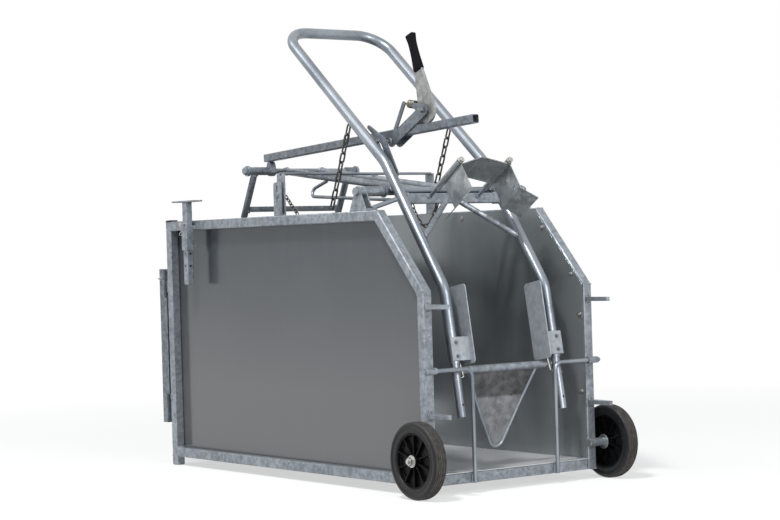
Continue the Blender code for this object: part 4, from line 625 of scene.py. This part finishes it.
# Bearings and stop
# Each bearing is a sleeve on two tapered plates that are welded to the top rail. A stub of
# rod on the left rail stands beside the leg.
ACROSS = Vector((1, 0, 0))
PIVOT_Y, PIVOT_Z, BEARING_HALF = 0.35039, 0.99557, 0.047
BEARING_EDGES = (HALF - 0.0077, HALF - TUBE + 0.0077, HALF - TUBE + 0.0023)
for name, side in SIDES:
    dress(f"{name}_bearing", zinc)
    bm = bmesh.new()
    for x in BEARING_EDGES:
        bead(bm, [at(side * x, PIVOT_Y - BEARING_HALF, RAIL_TOP + 0.0006),
                  at(side * x, PIVOT_Y + BEARING_HALF, RAIL_TOP + 0.0006)], 0.0022)
    round_bead(bm, at(side * (HALF - 0.008), PIVOT_Y, PIVOT_Z), ACROSS, 0.0172, 0.0018)
    piece(f"{name}_bearing_welds", bm, weld_zinc, "crate")
dress("leg_stop", bright, 0.0006)

# Rests
# Two plates on each top rail, the inner one notched for the cross rod of the neck frame, with
# a bolt through both. A short keep chain of light links hangs from the left one.
REST_Y, REST_HALF, REST_EDGES = 0.850, 0.022, (0.3275, 0.3465)
KEEP_X, KEEP_Y, KEEP_Z, KEEP_LINKS = -0.3145, 0.842, 0.994, 7
KEEP_AHEAD, KEEP_DOWN = 0.0107, 0.0099
LIGHT_LINK = (0.0115, 0.0075, 0.0021)


def link(bm, centre, run, wide, half_long, half_wide, wire):
    """One link of chain: a ring of wire with straight sides."""
    bend = half_wide - wire
    straight = half_long - wire - bend
    points = []
    for way in (1, -1):
        for step in range(9):
            turn = math.pi * step / 8
            points.append(centre + run * way * (straight + bend * math.sin(turn))
                          + wide * way * bend * math.cos(turn))
    swept(bm, points, wire, 10, closed=True)


def chain(bm, points, half_long, half_wide, wire, flat=ACROSS):
    """Links along a path, each a quarter turn from the last; the path gives their centres."""
    for place, point in enumerate(points):
        run = (points[min(place + 1, len(points) - 1)] - points[max(place - 1, 0)]).normalized()
        level = (flat - run * flat.dot(run)).normalized()
        wide = level if place % 2 else run.cross(level).normalized()
        link(bm, point, run, wide, half_long, half_wide, wire)


chain_zinc = plated("chain_zinc", (0.105, 0.102, 0.10), 0.36)
for name, side in SIDES:
    dress(f"{name}_rest", zinc)
    bm = bmesh.new()
    for x in REST_EDGES:
        bead(bm, [at(side * x, REST_Y - REST_HALF, RAIL_TOP + 0.0008),
                  at(side * x, REST_Y + REST_HALF, RAIL_TOP + 0.0008)], 0.002)
    piece(f"{name}_rest_welds", bm, weld_zinc, "crate")
bm = bmesh.new()
chain(bm, [at(KEEP_X, KEEP_Y - KEEP_AHEAD * step, KEEP_Z - KEEP_DOWN * step)
           for step in range(KEEP_LINKS)], *LIGHT_LINK)
piece("keep_chain", bm, chain_zinc, "crate")

# Hoop
# One 38 mm pipe bent at the top corners, the upper bends and the lower bends: the handle and
# the legs of the neck frame in one. The leg stubs are pushed up into its open ends and pinned.
HOOP_X, HOOP_RADIUS, HOOP_FOOT, LEAN = 0.215, 0.019, 0.420, math.radians(80.0)
LOW_BEND, HIGH_BEND = Vector((0.075, 0.665)), Vector((0.383, 1.098))
HOOP_TOP, HOOP_BENDS = Vector((0.985, 1.598)), (0.12, 0.16, 0.105, 0.105, 0.16, 0.12)
LEG = Vector((math.cos(LEAN), math.sin(LEAN)))
BEHIND = Vector((LEG.y, -LEG.x))


def leg_point(side, along, behind=0.0):
    """A point on the lower run of a leg, so far above the low bend and so far behind the axis."""
    return at(side * HOOP_X, *(LOW_BEND + LEG * along + BEHIND * behind))


half_route = [leg_point(-1, (HOOP_FOOT - LOW_BEND.y) / LEG.y), leg_point(-1, 0.0),
              at(-HOOP_X, *HIGH_BEND), at(-HOOP_X, *HOOP_TOP)]
route = half_route + [Vector((-point.x, point.y, point.z)) for point in reversed(half_route)]
bm = bmesh.new()
swept(bm, filleted(route, HOOP_BENDS, 16), HOOP_RADIUS, 40)
piece("hoop_pipe", bm, bright, "neck_frame", ["hoop"])
for name in ("left_leg_stub", "right_leg_stub", "pivot_shaft", "rest_rod", "rear_shaft",
             "left_headrest_rod", "right_headrest_rod"):
    dress(name, bright, 0.0006)

# Members of the neck frame
# A square cross member with a strut to each leg, two long tubes back to the rear shaft and a
# bent stay, all welded up from galvanised tube and rod.
MEMBER_X, MEMBER_Y, MEMBER_Z, MEMBER_HALF = 0.1965, 0.300, 0.968, 0.0178
STRUT_FOOT, STRUT_TOP_X, STAY_RADIUS, STAY_BEND = 0.825, 0.015, 0.006, 0.018
STRUT_OUT, TOUCH_ALONG, TOUCH_BEHIND = 0.0235, 0.429, 0.0195
LONG_X, LONG_BEAD, LONG_FRONT, LONG_REAR = 0.080, 0.0137, 0.0155, 0.0125
REAR_SHAFT, REST_ROD_UNDER, REST_ROD_HALF = Vector((1.204, 1.105)), 1.0723, 0.012
HEAD_ROD_X, HEAD_ROD_Y, HEAD_ROD_Z = 0.1045, 0.2795, 0.974
HEAD_RUN = Vector((-0.8357, 0.5492))
RUN = (HIGH_BEND - LOW_BEND).normalized()
RUN_BEHIND = Vector((RUN.y, -RUN.x))


def slope(run):
    """A direction from its rearward and upward parts."""
    return Vector((0.0, *run))


for name in ("cross_member", "left_long_tube", "right_long_tube"):
    dress(name, zinc)
bm = bmesh.new()
stay_route = [at(-0.100, 0.3195, 0.960), at(-0.100, 1.070, 1.006), at(-0.080, 0.928, 1.055)]
swept(bm, filleted(stay_route, STAY_BEND, 8), STAY_RADIUS)
piece("bent_stay", bm, bright, "neck_frame", ["stay_rod"])
bm = bmesh.new()
strut_foot_y = LOW_BEND.x + (STRUT_FOOT - LOW_BEND.y) * RUN.x / RUN.y
leg_touch = LOW_BEND + RUN * TOUCH_ALONG + RUN_BEHIND * TOUCH_BEHIND
for side in (-1, 1):
    bead(bm, [at(side * MEMBER_X, MEMBER_Y + back, MEMBER_Z + up)
              for back, up in corners_of(MEMBER_HALF, MEMBER_HALF)], 0.0028, closed=True)
    foot = at(side * HOOP_X, strut_foot_y, STRUT_FOOT)
    strut = (at(side * STRUT_TOP_X, MEMBER_Y, MEMBER_Z) - foot).normalized()
    round_bead(bm, foot + strut * STRUT_OUT, strut, 0.0108, 0.0026)
    round_bead(bm, at(side * HOOP_X, *leg_touch), slope(RUN_BEHIND), 0.0115, 0.0032)
    start, end = at(side * LONG_X, PIVOT_Y, PIVOT_Z), at(side * LONG_X, *REAR_SHAFT)
    tube_run = (end - start).normalized()
    round_bead(bm, start + tube_run * LONG_FRONT, tube_run, LONG_BEAD, 0.0026)
    round_bead(bm, end - tube_run * LONG_REAR, tube_run, LONG_BEAD, 0.0026)
    round_bead(bm, at(side * HEAD_ROD_X, HEAD_ROD_Y, HEAD_ROD_Z), slope(HEAD_RUN), 0.0068, 0.0018)
    bead(bm, [at(side * LONG_X + reach, REST_Y, REST_ROD_UNDER)
              for reach in (-REST_ROD_HALF, REST_ROD_HALF)], 0.003)
piece("neck_frame_welds", bm, weld_zinc, "neck_frame")

# Headrest
# A folded trough of 3 mm plate under two sleeves, which slide on the rods from the cross
# member and are held by a bolt in the end of each rod.
HEAD_TIP, HEAD_OVER = Vector((0.1125, 1.085)), Vector((0.5492, 0.8357))
SLIDE_START, SLIDE_END, SLIDE_UNDER, SLIDE_EDGE = 0.002, 0.112, 0.0085, 0.0075
ROD_END, ROD_BOLT = 0.004, (0.019, 0.008, 0.0215, 0.001)
plate_zinc = dipped("zinc_on_plate", (0.17, 0.19, 0.20), (0.42, 0.44, 0.45), (0.24, 0.40), 45.0,
                    0.0004, 0.7)
dress("headrest", plate_zinc, 0.0006)
bm = bmesh.new()
under_tip = HEAD_TIP - HEAD_RUN * SLIDE_START - HEAD_OVER * SLIDE_UNDER
under_end = HEAD_TIP - HEAD_RUN * SLIDE_END - HEAD_OVER * SLIDE_UNDER
for side in (-1, 1):
    for way in (-1, 1):
        x = side * HEAD_ROD_X + way * SLIDE_EDGE
        bead(bm, [at(x, *under_tip), at(x, *under_end)], 0.0022)
piece("headrest_welds", bm, weld_zinc, "headrest_carriage")
bm = bmesh.new()
for side in (-1, 1):
    rod_end = at(side * HEAD_ROD_X, *(HEAD_TIP + HEAD_RUN * ROD_END))
    bolt(bm, rod_end, slope(HEAD_RUN), *ROD_BOLT)
piece("headrest_rod_bolts", bm, bolt_zinc, "neck_frame")

# Neck plates, yoke tube and chest plate
# Plates inside the legs, each on a tab that is bolted across the leg, and a tube across below
# them held by pins with spring clips. The chest plate is a sheet folded down its middle that
# follows a bent rod on its edges.
CHEST_ROD, CHEST_WALL, CHEST_BENDS = 0.0064, 0.003, (0.056, 0.030, 0.056)
TAB_BOLTS, TAB_FRONT, TAB_BOLT = (-0.225, -0.180), -0.0235, (0.010, 0.005, 0.014, 0.002)
TAB_LOW, TAB_HIGH, TAB_BACK, TAB_EDGE = -0.240, -0.162, -0.0190, 0.0505
YOKE_END, YOKE_Y, YOKE_Z, YOKE_BEAD = 0.1985, 0.046, 0.398, 0.0132
PIN_X, PIN_FOOT, PIN_TOP, PIN_RADIUS = 0.187, (0.024, 0.377), (0.040, 0.418), 0.0035
pale_zinc = dipped("zinc_on_neck_plates", (0.26, 0.285, 0.315), (0.38, 0.41, 0.445), (0.34, 0.5),
                   70.0, 0.0005, 0.35)
# The chest plate is painted darker above its fold: painted shade under the yoke tube.
shaded_chest_zinc = dipped("zinc_grey_painted_shade", (0.12, 0.125, 0.13), (0.25, 0.26, 0.27), (0.3, 0.5), 45.0,
                   0.0006, 0.6, (0.301, 0.42))
for name in ("left_neck_plate", "right_neck_plate"):
    dress(name, pale_zinc)
dress("yoke_tube", zinc, 0.0006)
bm = bmesh.new()
rod_route = [at(-0.1416, 0.0485, 0.389), at(-0.101, 0.073, 0.297), at(0, 0.104, 0.096),
             at(0.101, 0.073, 0.297), at(0.1416, 0.0485, 0.389)]
rod_path = filleted(rod_route, CHEST_BENDS, 12)
swept(bm, rod_path, CHEST_ROD, 18)
piece("chest_edge_rod", bm, bright, "neck_frame", ["chest_rod"])
bm = bmesh.new()
rim = [bm.verts.new(point) for point in rod_path[:len(rod_path) // 2 + 1]]
edges = [bm.edges.new(pair) for pair in zip(rim, rim[1:])]
grown = bmesh.ops.extrude_edge_only(bm, edges=edges)["geom"]
mirrored = [part for part in grown if isinstance(part, bmesh.types.BMVert)]
bmesh.ops.scale(bm, vec=(-1, 1, 1), verts=mirrored)
bmesh.ops.remove_doubles(bm, verts=bm.verts, dist=0.0001)
bmesh.ops.solidify(bm, geom=bm.faces[:], thickness=CHEST_WALL)
piece("chest_sheet", bm, shaded_chest_zinc, "neck_frame", ["chest_plate"], 12)
bm = bmesh.new()
for side in (-1, 1):
    for along in TAB_BOLTS:
        bolt(bm, leg_point(side, along, TAB_FRONT), slope(-BEHIND), *TAB_BOLT)
piece("neck_tab_bolts", bm, dull_zinc, "neck_frame")
bm = bmesh.new()
for side in (-1, 1):
    bead(bm, [leg_point(side, along, TAB_BACK) - ACROSS * side * TAB_EDGE
              for along in (TAB_LOW, TAB_HIGH)], 0.0022)
    round_bead(bm, at(side * YOKE_END, YOKE_Y, YOKE_Z), ACROSS, YOKE_BEAD)
piece("neck_welds", bm, weld_zinc, "neck_frame")
bm = bmesh.new()
for side in (-1, 1):
    pin_foot = at(side * PIN_X, *PIN_FOOT)
    swept(bm, [pin_foot, at(side * PIN_X, *PIN_TOP)], PIN_RADIUS, 14)
    clip(bm, pin_foot + Vector((0, -0.001, 0.002)), (side, -0.05, -0.25), (0, -1, 0.2))
piece("yoke_pins", bm, bolt_zinc, "neck_frame")

# Clamp: beam, rump bar, cheeks, lever and spring
# The lever's cam bears on a square beam that rides over a roller and pushes the crank of the
# rump bar. A coil spring between two pins keeps the lever shut.
BEAM_X, LEVER_Y, LEVER_Z, ROLLER_Y, ROLLER_Z = -0.140, 0.236, 1.262, 0.4192, 1.169
ELBOW, LEVER_END = Vector((0.274, 1.394)), Vector((0.318, 1.523))
GRIP_WIDE, GRIP_DEEP, GRIP_ROUND, GRIP_FOOT, GRIP_END = 0.0225, 0.0395, 0.006, 0.004, 0.0035
RIDGES, RIDGE_LOW, RIDGE_STEP = 9, -0.045, 0.0105
ANCHOR, HEAD = Vector((0.343, 1.292)), Vector((0.290, 1.284))
TURNS, PER_TURN, COIL_RADIUS, COIL_WIRE, CLEAR, HOOK = 13, 24, 0.0131, 0.0012, 0.0085, 0.0048
CHEEK_OUTER, LEVER_BOLT = 0.0252, (0.016, 0.006, 0.020, 0.003)
KNEE_PLACE, KNEE_BOLT = (-0.1958, 0.4465, 1.1719), (0.015, 0.006, 0.020, 0.002)
ROLLER_HALF, ROLLER_BEAD = 0.026, 0.0095
RUMP_LEAN, RUMP_LENGTH, RUMP_REACH, RUMP_X = math.radians(27), 0.157, 0.0102, 0.2005
RUMP_ARM_X, RUMP_ARM_OUT, RUMP_ARM_BEAD = 0.2125, 0.0145, 0.0128
for name in ("clamp_beam", "rump_bar", "knee_plate", "clamp_cheeks"):
    dress(name, weathered_zinc)
lever_zinc = dipped("zinc_on_lever", (0.20, 0.205, 0.205), (0.40, 0.405, 0.40), (0.4, 0.62),
                    60.0, 0.0012)
dress("clamp_lever", lever_zinc, 0.001)
grip_rubber = moulded("grip_rubber", (0.003, 0.003, 0.004), 0.5, 320.0, 0.0003, 0.06)
tongue = (LEVER_END - ELBOW).normalized()
grip_low, grip_high = ELBOW + tongue * GRIP_FOOT, LEVER_END + tongue * GRIP_END
bm = bmesh.new()
made = bmesh.ops.create_cube(bm, size=1.0)["verts"]
bmesh.ops.scale(bm, vec=(GRIP_WIDE, GRIP_DEEP, (grip_high - grip_low).length), verts=made)
bmesh.ops.bevel(bm, geom=bm.edges[:], offset=GRIP_ROUND, segments=4, profile=0.5,
                affect="EDGES", material=-1)
for step in range(RIDGES):
    cut = bmesh.ops.bisect_plane(bm, geom=bm.verts[:] + bm.edges[:] + bm.faces[:], dist=0.00001,
                                 plane_co=(0, 0, RIDGE_LOW + step * RIDGE_STEP),
                                 plane_no=(0, 0, 1))
    ring = [part for part in cut["geom_cut"] if isinstance(part, bmesh.types.BMVert)]
    bmesh.ops.scale(bm, vec=(0.93, 0.96, 1.0), verts=ring)
tilt = Matrix.Rotation(-math.atan2(tongue.x, tongue.y), 4, "X")
shift = Matrix.Translation(at(BEAM_X, *((grip_low + grip_high) / 2)))
bmesh.ops.transform(bm, matrix=shift @ tilt, verts=bm.verts)
piece("grip_sleeve", bm, grip_rubber, "lever", ["lever_grip"], 30)
bm = bmesh.new()
start, end = at(BEAM_X, *ANCHOR), at(BEAM_X, *HEAD)
run = (end - start).normalized()
over = run.cross(ACROSS).normalized()
length = (end - start).length - 2 * CLEAR
coil = []
for step in range(TURNS * PER_TURN + 1):
    turn = 2 * math.pi * step / PER_TURN
    coil.append(start + run * (CLEAR + length * step / (TURNS * PER_TURN))
                + (ACROSS * math.cos(turn) + over * math.sin(turn)) * COIL_RADIUS)
for tip, way in ((start, 1), (end, -1)):
    hook = [tip + run * way * HOOK * math.cos(turn) + over * HOOK * math.sin(turn)
            for turn in map(math.radians, range(200, 0, -20))]
    lead = [hook[-1] + run * way * 0.002 + ACROSS * 0.004]
    coil = hook + lead + coil if way > 0 else coil + lead + hook[::-1]
swept(bm, coil, COIL_WIRE, 10)
spring_steel = plated("spring_steel", (0.24, 0.215, 0.185), 0.34)
piece("coil_spring", bm, spring_steel, "neck_frame", ["clamp_spring"])
bm = bmesh.new()
for way in (-1, 1):
    bolt(bm, at(BEAM_X + way * CHEEK_OUTER, LEVER_Y, LEVER_Z), (way, 0, 0), *LEVER_BOLT)
bolt(bm, at(*KNEE_PLACE), (-1, 0, 0), *KNEE_BOLT)
piece("lever_bolt", bm, dull_zinc, "neck_frame")
bm = bmesh.new()
bead(bm, [at(-0.193, 0.436, 1.150), at(-0.193, 0.470, 1.205)])
for way in (-1, 1):
    roller_end = at(BEAM_X + way * ROLLER_HALF, ROLLER_Y, ROLLER_Z)
    round_bead(bm, roller_end, ACROSS, ROLLER_BEAD, 0.0022)
piece("clamp_welds", bm, weld_zinc, "neck_frame")
bm = bmesh.new()
down = Vector((math.sin(RUMP_LEAN), -math.cos(RUMP_LEAN)))
forward = Vector((-down.y, down.x))
foot = REAR_SHAFT + down * RUMP_LENGTH
for side in (-1, 1):
    arm = at(side * RUMP_ARM_X, *(REAR_SHAFT + down * RUMP_ARM_OUT))
    round_bead(bm, arm, slope(down), RUMP_ARM_BEAD)
    bead(bm, [at(side * RUMP_X, *(foot + down * low + forward * ahead))
              for low, ahead in corners_of(RUMP_REACH, RUMP_REACH)], 0.0022, closed=True)
piece("rump_bar_welds", bm, weld_zinc, "rump")

# Chains
# Short-link zinc chain hung from under the hoop's legs, with one thicker repair link in the left
# one. A loop of lighter chain hangs slack under the cross member.
CHAIN_WIRE, CHAIN_HALF_WIDE, CHAIN_PITCH, CHAIN_LEAN = 0.0033, 0.0115, 0.033, math.radians(23.0)
CHAIN_HALF_LONG, CHAIN_STEP = CHAIN_PITCH / 2 + 2 * CHAIN_WIRE, CHAIN_PITCH + 0.0012
CHAIN_TOPS, CHAIN_LINKS, REPAIR_LINK, UNDER_PIPE = (0.569, 0.558), (9, 6), 1.35, 0.01865
SLACK_PITCH, SLACK_START, SLACK_END, SLACK_TOP, SLACK_LOW = 0.0146, -0.062, -0.166, 0.9465, 0.876
upper = (HOOP_TOP - HIGH_BEND).normalized()
under = Vector((upper.y, -upper.x))
run = slope((math.sin(CHAIN_LEAN), -math.cos(CHAIN_LEAN)))
for (name, side), top_y, count in zip(SIDES, CHAIN_TOPS, CHAIN_LINKS):
    top = HIGH_BEND + upper * (top_y - HIGH_BEND.x) / upper.x
    centre = at(side * HOOP_X, *(top + under * (UNDER_PIPE + CHAIN_HALF_WIDE)))
    centre += run * (CHAIN_HALF_LONG - CHAIN_HALF_WIDE)
    bm = bmesh.new()
    for place in range(count):
        wide = ACROSS if place % 2 else run.cross(ACROSS)
        thick = REPAIR_LINK if place == 1 and side < 0 else 1.0
        link(bm, centre + run * place * CHAIN_STEP, run, wide, CHAIN_HALF_LONG,
             CHAIN_HALF_WIDE, CHAIN_WIRE * thick)
    piece(f"{name}_hanging_chain", bm, chain_zinc, "neck_frame",
          [f"{name}_chain"])
hung = []
for step in range(400):
    part = step / 399
    point = at(SLACK_START + (SLACK_END - SLACK_START) * part, MEMBER_Y,
               SLACK_TOP - (SLACK_TOP - SLACK_LOW) * 4 * part * (1 - part))
    if not hung or (point - hung[-1]).length >= SLACK_PITCH:
        hung.append(point)
bm = bmesh.new()
chain(bm, hung, *LIGHT_LINK, flat=REARWARD)
piece("slack_chain", bm, chain_zinc, "neck_frame")

# Studio
# A pale floor that fades into a white surround, one soft lamp high on the left, a weaker one in
# front and one behind, and the camera where the photographer stood.
FADE_FROM, FADE_TO, FADE_LEAST, GLOW = 1.2, 5.0, 0.55, 1.03
WHITE, PALE = (1.0, 1.0, 1.0, 1.0), (0.86, 0.86, 0.86, 1.0)
SKY, SKY_LIGHT = (0.93, 0.97, 1.0, 1.0), 0.42
TARGET = Vector((0.0, -0.2, 0.6))
LAMPS = (("key_lamp", (-3.5, -1.9, 6.5), 0.9, 380.0),
         ("front_lamp", (-0.5, -6.0, 2.8), 2.5, 160.0),
         ("rear_lamp", (-3.4, 2.4, 5.6), 2.0, 70.0))
YAW, PITCH, ROLL = math.radians(36.25), math.radians(-0.274), math.radians(-1.694)
FOCAL_PIXELS, PHOTO_WIDTH, SENSOR, STAND = 2048.67, 780, 36.0, (-4.314, -5.220, 0.797)


def seen_rays(tree):
    """One for camera, mirror and glass rays, which see white where the light rays don't."""
    flags = grow(tree, "ShaderNodeLightPath").outputs
    total = worked(tree, "MAXIMUM", flags["Is Camera Ray"], flags["Is Glossy Ray"])
    return worked(tree, "MAXIMUM", total, flags["Is Transmission Ray"])


def either(tree, share, first, second):
    """Two shaders mixed, the second by its share."""
    mixed = grow(tree, "ShaderNodeMixShader", Fac=share)
    tree.links.new(first, mixed.inputs[1])
    tree.links.new(second, mixed.inputs[2])
    return mixed.outputs["Shader"]


bpy.ops.mesh.primitive_plane_add(size=60.0, location=(0, 0, 0))
floor = bpy.context.object
floor.name = "studio_floor"
pale = bpy.data.materials.new("studio_floor")
pale.use_nodes = True
tree = pale.node_tree
tree.nodes.clear()
away = worked(tree, "LENGTH", grow(tree, "ShaderNodeTexCoord").outputs["Object"],
              kind="ShaderNodeVectorMath")
fade = ranged(tree, away, (FADE_FROM, FADE_TO), (FADE_LEAST, 1.0))
matt = grow(tree, "ShaderNodeBsdfDiffuse", Color=PALE).outputs["BSDF"]
glow = grow(tree, "ShaderNodeEmission", Color=WHITE, Strength=GLOW).outputs["Emission"]
share = worked(tree, "MULTIPLY", seen_rays(tree), fade)
grow(tree, "ShaderNodeOutputMaterial", Surface=either(tree, share, matt, glow))
floor.data.materials.append(pale)

world = bpy.data.worlds.new("studio_surround")
bpy.context.scene.world = world
world.use_nodes = True
tree = world.node_tree
tree.nodes.clear()
sky = grow(tree, "ShaderNodeBackground", Color=SKY, Strength=SKY_LIGHT).outputs["Background"]
white = grow(tree, "ShaderNodeBackground", Color=WHITE, Strength=1.0).outputs["Background"]
grow(tree, "ShaderNodeOutputWorld", Surface=either(tree, seen_rays(tree), sky, white))

for name, spot, size, power in LAMPS:
    lamp = bpy.data.lights.new(name, "AREA")
    lamp.size = size
    lamp.energy = power
    lamp_object = bpy.data.objects.new(name, lamp)
    bpy.context.scene.collection.objects.link(lamp_object)
    lamp_object.location = spot
    lamp_object.rotation_euler = (TARGET - Vector(spot)).to_track_quat("-Z", "Y").to_euler()

forward = Vector((math.sin(YAW) * math.cos(PITCH), math.cos(YAW) * math.cos(PITCH),
                  math.sin(PITCH)))
level = Vector((math.cos(YAW), -math.sin(YAW), 0.0))
upright = level.cross(forward)
right = level * math.cos(ROLL) + upright * math.sin(ROLL)
top_way = upright * math.cos(ROLL) - level * math.sin(ROLL)
camera = bpy.data.cameras.new("photo_camera")
camera.sensor_width = SENSOR
camera.lens = FOCAL_PIXELS * SENSOR / PHOTO_WIDTH
camera_object = bpy.data.objects.new("photo_camera", camera)
bpy.context.scene.collection.objects.link(camera_object)
turn = Matrix((right, top_way, -forward)).transposed().to_4x4()
camera_object.matrix_world = Matrix.Translation(at(*STAND)) @ turn
bpy.context.scene.camera = camera_object
bpy.context.scene.view_settings.view_transform = "Standard"
